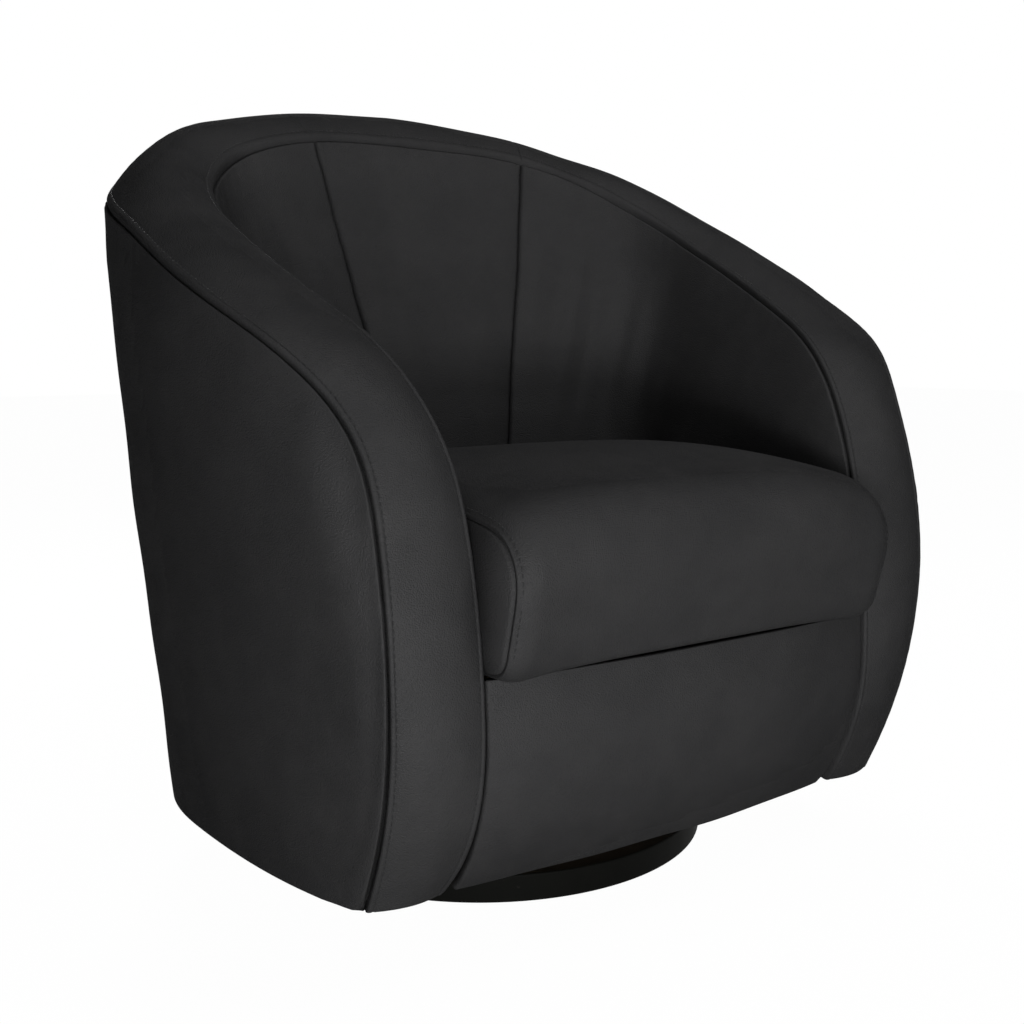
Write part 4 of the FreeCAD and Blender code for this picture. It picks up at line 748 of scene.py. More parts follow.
def plastic_material():
    """Natural nylon with a faint moulded texture."""
    paint = Paint("natural_nylon")
    texture = paint.noise(420.0, detail=2.0)
    cloud = paint.noise(18.0, detail=2.0)
    colour = paint.mix(cloud, (0.62, 0.61, 0.56), (0.74, 0.73, 0.69))
    bumps = paint.bump(texture, strength=0.1, distance=0.2 * MM)
    return paint.feed(Base_Color=colour, Roughness=0.42 + texture * 0.15, Normal=bumps)


# Pieces

WELT_START = 1.2 * MM
WELT_RISE = 2 * MM
WELT_FALL = 3 * MM
INNER_WELT = 1.2
STITCH_DENT = 1.3 * MM
SEAM_DEPTH = 7 * MM
SEAM_WIDTH = 1.5 * MM
CROSS_ROUND = 1.3 * MM
HEM_ROUND = 2.5 * MM
HEM_SOFT = 1.5 * MM
APRON_FLAT = 0.75
APRON_LEVEL = 0.29
APRON_FADE = 30 * MM
BAND_GATHER = 0.12 * MM
BAND_WAVE = (190 * MM, 0.9 * MM)
BAND_WAVE_EDGE = 30 * MM
BAND_STEP = 7 * MM
BAND_ROW_STEP = 5 * MM
BAND_PATTERN = 100 * MM
BAND_DEPTH = 9 * MM
BAND_PINCH = 0.94


def seam_profile(distance, look, welt):
    """Height beside a sewn edge: rounded edge, raised welt up to the topstitch, and its dent."""
    allowance = look.seam_allowance
    beyond = distance - allowance
    raised = welt * ease((distance - WELT_START) / WELT_RISE) * (1 - ease(beyond / WELT_FALL))
    dent = STITCH_DENT * np.exp(-(beyond / STITCH_DENT) ** 2)
    return raised - dent - rounded_edge(distance, look.seam_round)


def drawn_in(distance, first, second):
    """Shift of an edge that the thread draws in along the bisector of two directions.

    Shift = -depth exp(-(distance / width)^2) unit(first + second).
    """
    depth = SEAM_DEPTH * np.exp(-(distance / SEAM_WIDTH) ** 2)
    return -depth[..., None] * unit(first + second)


def band_surface(rim, look, place, inset, start, end):
    """Domed band at places along the rim and distances in from its inner seam.

    Point = inner seam + chord w + rise (4 crown w (1 - w) + seam profiles), w = inset over width.
    Both seams are drawn in between the band and the panel that they join it to, less so beside the
    apron, and the two cross seams at the start and end of a length sink in as rounded edges.
    """
    inner, outer, crown = rim.at(place)
    chord = outer - inner
    width = np.linalg.norm(chord, axis=-1)
    rise = rim.rise(place)
    part = inset / width[:, None]
    height = 4 * crown[:, None] * part * (1 - part)
    far = width[:, None] - inset
    height = height + seam_profile(inset, look, INNER_WELT * look.welt)
    height = height + seam_profile(far, look, look.welt)
    run = place[:, None]
    height = height + pucker(run, far, BAND_GATHER) + pucker(run + 0.3, inset, BAND_GATHER)
    height = height - rounded_edge(np.minimum(run - start, end - run), CROSS_ROUND)
    points = inner[:, None] + chord[:, None] * part[..., None]
    swell = waves(points, *BAND_WAVE) * np.clip(np.minimum(inset, far) / BAND_WAVE_EDGE, 0.0, 1.0)
    up, across = rise[:, None], unit(chord)[:, None]
    points = points + up * (height + swell)[..., None]
    flat = APRON_FLAT * ease((APRON_LEVEL - inner[:, 2]) / APRON_FADE)
    sunk = drawn_in(inset, up, -across) * (1 - flat)[:, None, None] + drawn_in(far, up, across)
    return above_hem(rim, points + sunk)


def above_hem(rim, points):
    """Points with any that hang below the hem brought up to it."""
    hem = rim.shape.hem
    level = hem + soft_ramp(points[..., 2] - hem, HEM_SOFT)
    return np.concatenate([points[..., :2], level[..., None]], axis=-1)


def band_insets(rim, place):
    """Distances in from the inner seam, close together at both seams, for each place."""
    inner, outer, _ = rim.at(place)
    width = np.linalg.norm(outer - inner, axis=-1)
    pattern = edge_spacing(BAND_PATTERN, BAND_ROW_STEP)
    middle = (pattern > EDGE_REACH) & (pattern < BAND_PATTERN - EDGE_REACH)
    share = (pattern - EDGE_REACH) / (BAND_PATTERN - 2 * EDGE_REACH)
    scaled = EDGE_REACH + share * (width[:, None] - 2 * EDGE_REACH)
    from_end = width[:, None] - (BAND_PATTERN - pattern)
    near = np.where(pattern <= EDGE_REACH, pattern, from_end)
    return np.where(middle, scaled, near)


def back_seams(rim):
    """Places of the left and right back seams, as distances from the middle of the back."""
    return tuple(rim.place_of(lambda inner, at=at: inner[:, 0] > at)
                 for at in (rim.shape.back_seam_left, rim.shape.back_seam_right))


def rim_lengths(rim):
    """Ends of the band's three lengths: the hems, and the cross seams over the back seams."""
    left, right = back_seams(rim)
    return {"left": (-rim.reach, -left), "back": (-left, right), "right": (right, rim.reach)}


def make_band(rim, look, leather):
    """Left, back and right lengths of the padded rim band, each closed underneath."""
    for side, (start, end) in rim_lengths(rim).items():
        place = start + edge_spacing(end - start, BAND_STEP)
        inset = band_insets(rim, place)
        top = band_surface(rim, look, place, inset, start, end)
        inner, outer, _ = rim.at(place)
        under = rim.rise(place)[:, None] * BAND_DEPTH
        width = np.linalg.norm(outer - inner, axis=-1)
        part = (inset / width[:, None])[..., None]
        pinch = 0.5 + (part - 0.5) * BAND_PINCH
        base = inner[:, None] + (outer - inner)[:, None] * pinch - under
        rings = np.concatenate([top, above_hem(rim, base)[:, ::-1]], axis=1)
        points, faces = rod(rings)
        piece = mesh_piece(f"rim_band_leather_{side}", points, faces, leather, "leather")
        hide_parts(f"rim_band_{side}")


PROUD_RISE = 0.23
PLAN_SAMPLES = 1200
PLAN_EASE = 4
FOOT_SAMPLES = 3000
FAN_POWER = 0.9
WALL_PARTS = 3.0
TUB_PARTS = 2.0


def wall_plan(rim, part, level):
    """Outer wall in plan: part 0 to 1 arm front corner, 1 to 2 side arc, 2 to 3 round the back."""
    shape = rim.shape
    corner = shape.corner_hem + (shape.corner_top - shape.corner_hem) * rim.corner_rise(level)
    risen = ease((level - shape.hem) / PROUD_RISE)
    proud = shape.proud_hem + (shape.proud_top - shape.proud_hem) * risen
    front = rim.front_at(level) - proud
    radius = rim.side_bend(level)
    half = rim.wall_half(level)
    lean = np.arcsin((shape.wall_centre - front - corner) / (radius - corner))
    centre_x = half - radius + (radius - corner) * np.cos(lean)
    corner_turn = -np.pi / 2 + (np.pi / 2 - lean) * part
    side_turn = -lean * (2 - part)
    back_x, back_y = rim.wall_round(np.clip(part - 2, 0.0, 1.0) * np.pi / 2, level)
    x = np.where(part < 1, centre_x + corner * np.cos(corner_turn),
                 np.where(part < 2, half - radius + radius * np.cos(side_turn), back_x))
    y = np.where(part < 1, front + corner + corner * np.sin(corner_turn),
                 np.where(part < 2, shape.wall_centre + radius * np.sin(side_turn), back_y))
    return np.stack([x, y, np.broadcast_to(level, x.shape)], axis=-1)


def nearest_part(plan, rim, seam, last):
    """Part of a plan nearest to each seam point at that point's level, smoothed along the seam."""
    parts = np.linspace(0.0, last, PLAN_SAMPLES)
    outline = plan(rim, parts[None, :], seam[:, 2:3])
    gap = np.linalg.norm(outline[..., :2] - seam[:, None, :2], axis=-1)
    return smoothed(parts[np.argmin(gap, axis=1)], PLAN_EASE)


def fanned(rim, plan, place, first, last, foot):
    """Parts along the foot for columns that fan out from a seam.

    Lengths along the foot keep step with lengths along the seam, by the power 0.9 of the share run
    from the front end, so a column leaves the seam nearly square to it.
    """
    parts = np.linspace(0.0, WALL_PARTS, FOOT_SAMPLES)
    run = travelled(plan(rim, parts, np.full_like(parts, foot)))
    share = (place[-1] - place) / (place[-1] - place[0])
    begin, end = np.interp([first, last], parts, run)
    return np.interp(begin + (end - begin) * share ** FAN_POWER, run, parts)


SEAM_PULL = 50 * MM
HUNG_PATTERN = 0.5
HUNG_SHORT = 0.1


def hung_grid(rim, plan, seam, top_part, foot_part, foot, rows):
    """Grid that hangs from a seam to a foot level on a plan surface.

    Each column runs straight from (top part, seam level) to (foot part, foot level); near the seam
    it is drawn over to the seam itself, by their difference times exp(-(distance / 50 mm)^2).
    Returns the points and the distances square to the seam and up from the foot.
    """
    drop = seam[:, 2] - foot
    start = plan(rim, top_part, seam[:, 2])
    end = plan(rim, foot_part, np.full_like(drop, foot))
    run = np.linalg.norm(end - start, axis=-1)
    pattern = edge_spacing(HUNG_PATTERN, HUNG_PATTERN / rows)
    shrink = np.minimum(run / HUNG_SHORT, 1.0)[:, None]
    edge = EDGE_REACH * shrink
    share = (pattern - EDGE_REACH) / (HUNG_PATTERN - 2 * EDGE_REACH)
    middle = edge + share * (run[:, None] - 2 * edge)
    from_foot = run[:, None] - (HUNG_PATTERN - pattern) * shrink
    distance = np.where(pattern >= HUNG_PATTERN - EDGE_REACH, from_foot, middle)
    distance = np.where(pattern <= EDGE_REACH, pattern * shrink, distance)
    fraction = distance / run[:, None]
    part = top_part[:, None] + (foot_part - top_part)[:, None] * fraction
    level = seam[:, 2:3] - drop[:, None] * fraction
    points = plan(rim, part, level)
    points = points + (seam - start)[:, None] * np.exp(-(distance / SEAM_PULL) ** 2)[..., None]
    course = unit(np.gradient(seam, axis=0))
    leave = unit(points[:, EDGE_ROW] - points[:, 0])
    square = np.linalg.norm(np.cross(course, leave), axis=-1)[:, None]
    return points, distance * square, level - foot


def row_run(face):
    """Distance run along each row of a grid from its first column."""
    steps = np.linalg.norm(np.diff(face, axis=0), axis=-1)
    return np.concatenate([np.zeros((1, face.shape[1])), np.cumsum(steps, axis=0)])


def side_edges(face, side):
    """Distance run along each row, and the distance from the nearest upright seam.

    The back panel has such a seam at both ends of its rows, an arm panel only at the first.
    """
    across = row_run(face)
    return across, np.minimum(across, across[-1:] - across) if side == "back" else across


def joined(left, right):
    """Middle panel from the grids of its two halves, each worked out on the right from the middle."""
    return tuple(np.concatenate([first[:0:-1] * (MIRROR if first.ndim == 3 else 1), second])
                 for first, second in zip(left, right))


def facing(face, towards):
    """Normals of a grid turned to one side: along the sum of those towards the given vectors."""
    normals = grid_normals(face)
    return normals if (normals * towards).sum() > 0 else -normals


def to_seam(face):
    """Direction of each column of a hung grid up to its seam."""
    return unit(face[:, :1] - face[:, EDGE_ROW, None])


def add_panel(name, node, shown, lining, side, leather):
    """Leather panel as a closed slab that stands for a CAD node, mirrored for the left."""
    if side == "left":
        shown, lining = shown * MIRROR, lining * MIRROR
    piece = mesh_piece(name, *slab(shown, lining), leather, "leather")
    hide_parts(node)


OUTER_STEP = 8 * MM
OUTER_ROWS = 44
OUTER_END = 3 * MM
OUTER_SEAM_SHARE = 0.85
OUTER_ROUND = 2.6 * MM
OUTER_GATHER = 0.3 * MM
OUTER_WAVE = (230 * MM, 0.8 * MM)
OUTER_WAVE_EDGE = 40 * MM
OUTER_THICK = 9 * MM
CHAIR_MIDDLE = (0.0, 0.0, 0.4)


def outer_grids(rim):
    """Grids of the outer covers with their distances from the seam and the hem, side by side."""
    hem = rim.shape.hem
    back_seam = rim.place_of(lambda inner: inner[:, 0] > OUTER_SEAM_SHARE * rim.shape.outer_seam)
    arm = back_seam + edge_spacing(rim.reach - OUTER_END - back_seam, OUTER_STEP, fine_end=False)
    middle = edge_spacing(back_seam, OUTER_STEP, fine_start=False)
    seam = rim.at(np.concatenate([middle, arm[1:]]))[1]
    top = nearest_part(wall_plan, rim, seam, WALL_PARTS)
    split = len(middle) - 1
    foot = fanned(rim, wall_plan, arm, top[-1], top[split], hem)
    right = hung_grid(rim, wall_plan, seam[split:], top[split:], foot, hem, OUTER_ROWS)
    back_top = top[:split + 1]
    back = hung_grid(rim, wall_plan, seam[:split + 1], back_top, back_top, hem, OUTER_ROWS)
    return {"left": right, "back": joined(back, back), "right": right}


def make_outer(rim, look, leather):
    """Left, back and right outer covers, from the rolled hem up to the outer seam."""
    for side, (face, from_seam, from_hem) in outer_grids(rim).items():
        across, edge = side_edges(face, side)
        outward = facing(face, face - CHAIR_MIDDLE)
        height = -rounded_edge(from_seam, look.seam_round) - rounded_edge(from_hem, HEM_ROUND)
        height = height - rounded_edge(edge, OUTER_ROUND) + pucker(across, from_seam, OUTER_GATHER)
        height = height + waves(face, *OUTER_WAVE) * np.clip(from_seam / OUTER_WAVE_EDGE, 0.0, 1.0)
        shown = face + outward * height[..., None] + drawn_in(from_seam, outward, to_seam(face))
        lining = face - outward * OUTER_THICK
        name, node = f"outer_leather_{side}", f"outer_cover_{side}"
        add_panel(name, node, shown, lining, side, leather)


TUB_LEVELS = (0.2, 0.265, 0.409, 0.6, 0.65, 0.757, 0.9)
TUB_HALVES = (0.222, 0.227, 0.242, 0.288, 0.2925, 0.296, 0.3)
TUB_REARS = (0.031, 0.045, 0.0725, 0.1145, 0.1255, 0.149, 0.18)
TUB_CENTRES = (-0.027, -0.025, -0.02, -0.008, -0.006, -0.003, -0.003)
TUB_FRONT = -0.345
TUB_NARROWING = 0.155
NARROW_LEVEL = 0.265
NARROW_RISE = 0.144
NARROW_MOST = 1.6
TUB_SAMPLES = 701
TUB_EASE = 25


def tub_values(level):
    """Half width, rear and centre of the inner padding at a level, smoothed between their marks."""
    grid = np.linspace(TUB_LEVELS[0], TUB_LEVELS[-1], TUB_SAMPLES)
    return [np.interp(level, grid, smoothed(np.interp(grid, TUB_LEVELS, marks), TUB_EASE))
            for marks in (TUB_HALVES, TUB_REARS, TUB_CENTRES)]


def tub_plan(rim, part, level):
    """Inner padding in plan: part 0 to 1 the arm's inner face, 1 to 2 round the back."""
    half, rear, centre = tub_values(level)
    depth = rear - centre
    corner = depth * rim.shape.inner_corner / rim.shape.inner_depth
    ahead = (centre - TUB_FRONT) * (1 - np.clip(part, 0.0, 1.0))
    narrow = TUB_NARROWING * np.clip((level - NARROW_LEVEL) / NARROW_RISE, 0.0, NARROW_MOST)
    turn = oval_turn(np.clip(part - 1, 0.0, 1.0), half, depth, corner)
    bend_x, bend_y = oval_point(turn, half, depth, corner, centre)
    x = np.where(part < 1, half - narrow * ahead ** 2, bend_x)
    y = np.where(part < 1, centre - ahead, bend_y)
    return np.stack([x, y, np.broadcast_to(level, x.shape)], axis=-1)


def folds(across, level, lines):
    """Soft folds: for each line (across, low, high, lean, width, height) a ridge with fading ends.

    Ridge = height exp(-((across - line) / width)^2) sin(pi part)^0.7, part running from low to high.
    """
    total = np.zeros_like(across)
    for at, low, high, lean, width, height in lines:
        part = np.clip((level - low) / (high - low), 0.0, 1.0)
        line = at + lean * (level - low)
        total += height * np.exp(-((across - line) / width) ** 2) * np.sin(np.pi * part) ** 0.7
    return total


RIGHT_FOLDS = (
    (0.016, 0.43, 0.7, 0.05, 0.0072, 0.00097), (0.036, 0.44, 0.66, 0.1, 0.0072, -0.00097),
    (0.058, 0.43, 0.68, 0.14, 0.0072, 0.0013), (0.078, 0.42, 0.63, 0.17, 0.0072, -0.0013),
    (0.096, 0.43, 0.64, 0.2, 0.0072, 0.0013), (0.118, 0.42, 0.6, 0.23, 0.0084, -0.00119),
    (0.14, 0.43, 0.62, 0.25, 0.0084, 0.00119), (0.164, 0.43, 0.57, 0.28, 0.0096, -0.00108),
    (0.19, 0.43, 0.56, 0.3, 0.0096, 0.00097),
)
LEFT_FOLDS = (
    (0.03, 0.47, 0.7, 0.12, 0.0084, 0.00122), (0.052, 0.46, 0.69, 0.17, 0.0084, -0.00131),
    (0.078, 0.46, 0.68, 0.2, 0.0084, 0.00142), (0.104, 0.46, 0.66, 0.24, 0.0084, -0.00122),
    (0.13, 0.45, 0.64, 0.28, 0.0096, 0.00111),
)
BACK_FOLDS = (
    (0.05, 0.43, 0.60, 0.02, 0.012, 0.0009), (0.11, 0.44, 0.66, 0.0, 0.013, -0.0009),
    (0.17, 0.43, 0.58, -0.02, 0.012, 0.0009),
)


INNER_STEP = 7 * MM
INNER_ROWS = 50
INNER_END = 6 * MM
SEAM_LEANS = (0.5, 0.6)
PLUMP = 7 * MM
PLUMP_REACH = 30 * MM
INNER_SIDE_ROUND = 5 * MM
INNER_SEAM_ROUND = 4 * MM
INNER_SIDE_GATHER = 0.5 * MM
INNER_SEAM_GATHER = 0.4 * MM
INNER_WAVE = (160 * MM, 0.9 * MM)
INNER_THICK = 8 * MM
SITTER_MIDDLE = np.array([0.0, -0.1, 0.5])


def inner_half_grids(rim, back_seam, lean):
    """Grids of half the back panel and of one arm panel, parted at a seam that leans inwards below."""
    foot = rim.shape.tub_foot
    front = rim.place_of(lambda inner: inner[:, 2] < foot + INNER_END)
    arm = back_seam + edge_spacing(front - back_seam, INNER_STEP, fine_end=False)
    middle = edge_spacing(back_seam, INNER_STEP, fine_start=False)
    seam = rim.at(np.concatenate([middle, arm[1:]]))[0]
    top = nearest_part(tub_plan, rim, seam, TUB_PARTS)
    split = len(middle) - 1
    middle_foot = TUB_PARTS - lean * (TUB_PARTS - top[:split + 1])
    arm_foot = fanned(rim, tub_plan, arm, top[-1], middle_foot[-1], foot)
    return (hung_grid(rim, tub_plan, seam[:split + 1], top[:split + 1], middle_foot, foot, INNER_ROWS),
            hung_grid(rim, tub_plan, seam[split:], top[split:], arm_foot, foot, INNER_ROWS))


def make_inner(rim, leather):
    """Inner panels of the tub: plump between their seams, with the soft folds of sat-on leather."""
    (back_left, left), (back_right, right) = (
        inner_half_grids(rim, seam, lean) for seam, lean in zip(back_seams(rim), SEAM_LEANS))
    grids = {"right": (right, RIGHT_FOLDS), "left": (left, LEFT_FOLDS),
             "back": (joined(back_left, back_right), BACK_FOLDS)}
    for side, ((face, from_seam, _), lines) in grids.items():
        across, edge = side_edges(face, side)
        level = face[..., 2]
        inward = facing(face, SITTER_MIDDLE - face)
        height = PLUMP * (1 - np.exp(-edge / PLUMP_REACH)) * (1 - np.exp(-from_seam / PLUMP_REACH))
        height = height - rounded_edge(edge, INNER_SIDE_ROUND)
        height = height - rounded_edge(from_seam, INNER_SEAM_ROUND)
        height = height + folds(across, level, lines)
        height = height + pucker(level, edge, INNER_SIDE_GATHER, WIDE_REACH)
        height = height + pucker(across, from_seam, INNER_SEAM_GATHER, WIDE_REACH)
        height = height + waves(face, *INNER_WAVE)
        shown = face + inward * height[..., None] + drawn_in(from_seam, inward, to_seam(face))
        lining = face - inward * INNER_THICK
        name, node = f"inner_leather_{side}", f"inner_panel_{side}"
        add_panel(name, node, shown, lining, side, leather)


BOW_LOSS = 0.45
BOW_RISE = 0.2
APRON_STEP = 8 * MM
APRON_ROUND = 2.4 * MM
APRON_PLUMP = 7 * MM
APRON_SIDE_REACH = 25 * MM
APRON_HEM_REACH = 70 * MM
APRON_GATHER = 0.2 * MM
APRON_WAVE = (200 * MM, 0.8 * MM)
APRON_THICK = 8 * MM


def apron_surface(rim, cushion, across, level):
    """Apron: the inner seam's side view, bowed forward by a parabola over its width."""
    part = across / cushion.apron_half
    loss = BOW_LOSS * ease((level - rim.shape.hem) / BOW_RISE)
    bow = cushion.apron_bow * (1 - part * part) * (1 - loss)
    return np.stack([across, rim.front_at(level) - bow, level], axis=-1)


def make_apron(rim, cushion, leather):
    """Apron panel under the cushion, sewn between the arm fronts, with a rolled hem."""
    half, hem = cushion.apron_half, rim.shape.hem
    across = edge_spacing(2 * half, APRON_STEP) - half
    level = hem + edge_spacing(cushion.apron_top - hem, APRON_STEP)
    across, level = np.meshgrid(across, level, indexing="ij")
    face = apron_surface(rim, cushion, across, level)
    outward = facing(face, [0.0, -1.0, 0.0])
    edge = half - np.abs(across)
    height = -rounded_edge(edge, APRON_ROUND) - rounded_edge(level - hem, HEM_ROUND)
    plump = (1 - np.exp(-edge / APRON_SIDE_REACH)) * ease((level - hem) / APRON_HEM_REACH)
    height = height + APRON_PLUMP * plump + pucker(level, edge, APRON_GATHER, WIDE_REACH)
    height = height + waves(face, *APRON_WAVE)
    shown, lining = face + outward * height[..., None], face - outward * APRON_THICK
    add_panel("apron_leather", "apron_panel", shown, lining, "middle", leather)


FRONT_LEAN = 0.25
BROW_RISE = 0.14
REAR_FALL = -0.16
REAR_DROP = 22 * MM
HEEL = 30 * MM
OVERSAMPLE = 4
LOOP_POINTS = 180
MIDDLE_BLUNT = 4
SIDE_BLUNT = 12
SEAT_ROWS = 75
CROWN_POWER = 4
REAR_TUCK = 50 * MM
TUCK_POWER = 8
TUCK_START = -0.08
TUCK_RUN = 0.1
GUSSET_ROWS = np.array([3.0, 7.0, 12.0, 18.0, 25.0, 33.0, 42.0]) * MM
GUSSET_SPARE = 8 * MM
GUSSET_SHAPE = (0.6, 0.2)
GUSSET_FLAT = 0.7
GUSSET_FRONT = -0.35
GUSSET_RUN = 0.06


def cushion_loop(cushion, top, brow, crown, blunt):
    """Side view of the cushion as a closed loop, evenly spaced.

    A front leaning forward, a brow arc tangent to it and to a gentle rise, a cubic over the top to
    the rear, a leaning rear and a flat underside, with the corners blunted by a running mean.
    """
    foot, start = cushion.foot, cushion.foot_front
    centre_z = top - brow
    centre_y = start + brow * math.hypot(1, FRONT_LEAN) - (centre_z - foot) * FRONT_LEAN
    turn = np.linspace(-math.atan(FRONT_LEAN), math.pi / 2 - math.atan(BROW_RISE), 60)
    arc = np.stack([centre_y - brow * np.cos(turn), centre_z + brow * np.sin(turn)], axis=-1)
    begin, span = arc[-1], cushion.rear - arc[-1, 0]
    part = np.linspace(0.0, 1.0, 80)[1:]
    drop = crown - REAR_DROP - begin[1]
    over = begin[1] + span * BROW_RISE * part * (1 - part) ** 2 + drop * ease(part)
    over = over - span * REAR_FALL * part * part * (1 - part)
    crest = np.stack([begin[0] + span * part, over], axis=-1)
    heel = np.array([cushion.rear - HEEL, foot])
    loop = np.concatenate([arc, crest, [heel, [start, foot]], arc[:1]])
    run = travelled(loop)
    even = np.linspace(0.0, run[-1], OVERSAMPLE * LOOP_POINTS, endpoint=False)
    loop = read_along(even, run, loop)
    mean = sum(np.roll(loop, step, axis=0) for step in range(-blunt, blunt + 1)) / (2 * blunt + 1)
    return mean[::OVERSAMPLE]


def shrunk(loop, depth):
    """Closed loop in side view moved inwards along its normals by a depth."""
    ahead = np.roll(loop, -1, axis=0) - np.roll(loop, 1, axis=0)
    normal = unit(np.stack([ahead[:, 1], -ahead[:, 0]], axis=-1))
    return loop + normal * depth


def cushion_rings(cushion):
    """Rings of the cushion from the middle of one gusset over the seat to the middle of the other.

    Between the seams the loop is side + (middle - side)(1 - q^4), q = |x| over the half width, and
    near a seam it is rounded off by a quarter circle that the seam halves. A gusset's rings shrink
    from the seam to its middle line and swell outwards on the other half of that circle.
    Returns the rings and the row of each seam.
    """
    middle = cushion_loop(cushion, cushion.brow_top, cushion.brow, cushion.crown, MIDDLE_BLUNT)
    side = cushion_loop(cushion, cushion.side_top, cushion.side_brow, cushion.side_crown, SIDE_BLUNT)
    bend = cushion.seam_bend
    halved = bend * (1 - math.sqrt(0.5))
    across = np.linspace(-1.0, 1.0, SEAT_ROWS) * cushion.half
    part = np.abs(across) / cushion.half
    wide = shrunk(side, -halved)
    loops = wide[None] + (middle - wide)[None] * (1 - part ** CROWN_POWER)[:, None, None]
    sunk = rounded_edge(halved + cushion.half - np.abs(across), bend)
    ahead = np.roll(loops, -1, axis=1) - np.roll(loops, 1, axis=1)
    inward = unit(np.stack([ahead[..., 1], -ahead[..., 0]], axis=-1))
    loops = loops + inward * sunk[:, None, None]
    tuck = ease((loops[..., 0] - TUCK_START) / TUCK_RUN)
    loops[..., 0] -= REAR_TUCK * part[:, None] ** TUCK_POWER * tuck
    sideways = np.broadcast_to(across[:, None, None], loops.shape[:2] + (1,))
    skin = np.concatenate([sideways, loops], axis=-1)
    centre = skin[-1, :, 1:].mean(axis=0)
    flat = (skin[-1, :, 1:] - centre) * GUSSET_SHAPE
    share = (GUSSET_ROWS / (GUSSET_ROWS[-1] + GUSSET_SPARE))[:, None, None]
    inner = skin[-1, None, :, 1:] * (1 - share) + (centre + flat)[None] * share
    stand = (halved - rounded_edge(halved + GUSSET_ROWS, bend))[:, None]
    stand = stand * (1 - GUSSET_FLAT * ease((inner[..., 0] - GUSSET_FRONT) / GUSSET_RUN))
    right = np.concatenate([(cushion.half + stand)[..., None], inner], axis=-1)
    left = right[::-1] * MIRROR
    first = len(GUSSET_ROWS)
    return np.concatenate([left, skin, right]), (first, first + SEAT_ROWS - 1)


FILLING_FRAMES = 20
FILLING = {
    "quality": 6,
    "mass": 0.3,
    "tension_stiffness": 40.0,
    "compression_stiffness": 40.0,
    "shear_stiffness": 12.0,
    "bending_stiffness": 20.0,
    "use_pressure": True,
    "uniform_pressure_force": 4.0,
}


def inflated(points, faces, held, limit):
    """Shift of each point in a short cloth simulation under inner pressure, held within a limit."""
    mesh = bpy.data.meshes.new("inflating")
    mesh.from_pydata(points.tolist(), [], faces.tolist())
    bag = bpy.data.objects.new("inflating", mesh)
    scene = bpy.context.scene
    scene.collection.objects.link(bag)
    group = bag.vertex_groups.new(name="held")
    for weight in np.unique(held):
        group.add(np.flatnonzero(held == weight).tolist(), float(weight), "REPLACE")
    cloth = bag.modifiers.new("pressure", "CLOTH")
    for name, value in FILLING.items():
        setattr(cloth.settings, name, value)
    cloth.settings.vertex_group_mass = "held"
    cloth.settings.effector_weights.gravity = 0.0
    cloth.collision_settings.use_collision = False
    cloth.point_cache.frame_end = FILLING_FRAMES
    for step in range(1, FILLING_FRAMES + 1):
        scene.frame_set(step)
    shown = bag.evaluated_get(bpy.context.evaluated_depsgraph_get())
    moved = np.empty(points.size, dtype=np.float32)
    shown.data.vertices.foreach_get("co", moved)
    bpy.data.objects.remove(bag)
    bpy.data.meshes.remove(mesh)
    scene.frame_set(1)
    shift = moved.reshape(-1, 3) - points
    size = np.linalg.norm(shift, axis=-1, keepdims=True)
    return shift * limit * np.tanh(size / limit) / np.maximum(size, 1e-9)


def cubic(grid, at, wrap):
    """Grid read between its rows at fractional places, by the cubic through four neighbours."""
    rows = len(grid)
    low = np.floor(at).astype(int)
    part = (at - low)[:, None, None]
    pick = [low + step for step in (-1, 0, 1, 2)]
    pick = [index % rows if wrap else np.clip(index, 0, rows - 1) for index in pick]
    a, b, c, d = (grid[index] for index in pick)
    return b + 0.5 * part * (c - a + part * (2 * a - 5 * b + 4 * c - d + part * (3 * (b - c) + d - a)))


SEAT_STEP = 5 * MM
GUSSET_STEP = 6 * MM
GROOVE_DEPTH = 2.2 * MM
GROOVE_WIDTH = 1.7 * MM


def sewn_cushion(look, rings, seams):
    """Finer rings with the gusset seams pressed in; also the two topstitch rows with their normals."""
    finer = cubic(rings.transpose(1, 0, 2), np.arange(0, rings.shape[1], 0.5), True).transpose(1, 0, 2)
    run = np.median(row_run(finer), axis=1)
    left, right = run[seams[0]], run[seams[1]]
    edge = edge_spacing(right - left, SEAT_STEP)
    side = edge_spacing(left, GUSSET_STEP, fine_start=False)
    place = np.concatenate([side, left + edge[1:], right + left - side[-2::-1]])
    finer = cubic(finer, np.interp(place, run, np.arange(len(run))), False)
    wrapped = np.concatenate([finer[:, -1:], finer, finer[:, :1]], axis=1)
    normals = grid_normals(wrapped)[:, 1:-1]
    if (normals * (finer - finer.mean(axis=(0, 1)))).sum() < 0:
        normals = -normals
    from_seam = np.minimum(np.abs(place - left), np.abs(place - right))
    on_seat = (place > left) & (place < right)
    groove = -GROOVE_DEPTH * np.exp(-(from_seam / GROOVE_WIDTH) ** 2)
    groove = groove + np.where(on_seat, seam_profile(from_seam + look.seam_round, look, look.welt), 0.0)
    sewn = finer + normals * groove[:, None, None]
    lines = left + look.seam_allowance, right - look.seam_allowance
    rows = [np.argmin(np.abs(place - line)) for line in lines]
    return sewn, [(sewn[row], normals[row]) for row in rows]


HELD_REAR = 20 * MM
HELD_FOOT = 12 * MM
HELD_GUSSET = 4
SPREAD = 5
SPREAD_ROUNDS = 3
SEWN_REAR = 0.0
SEWN_FOOT = 14 * MM


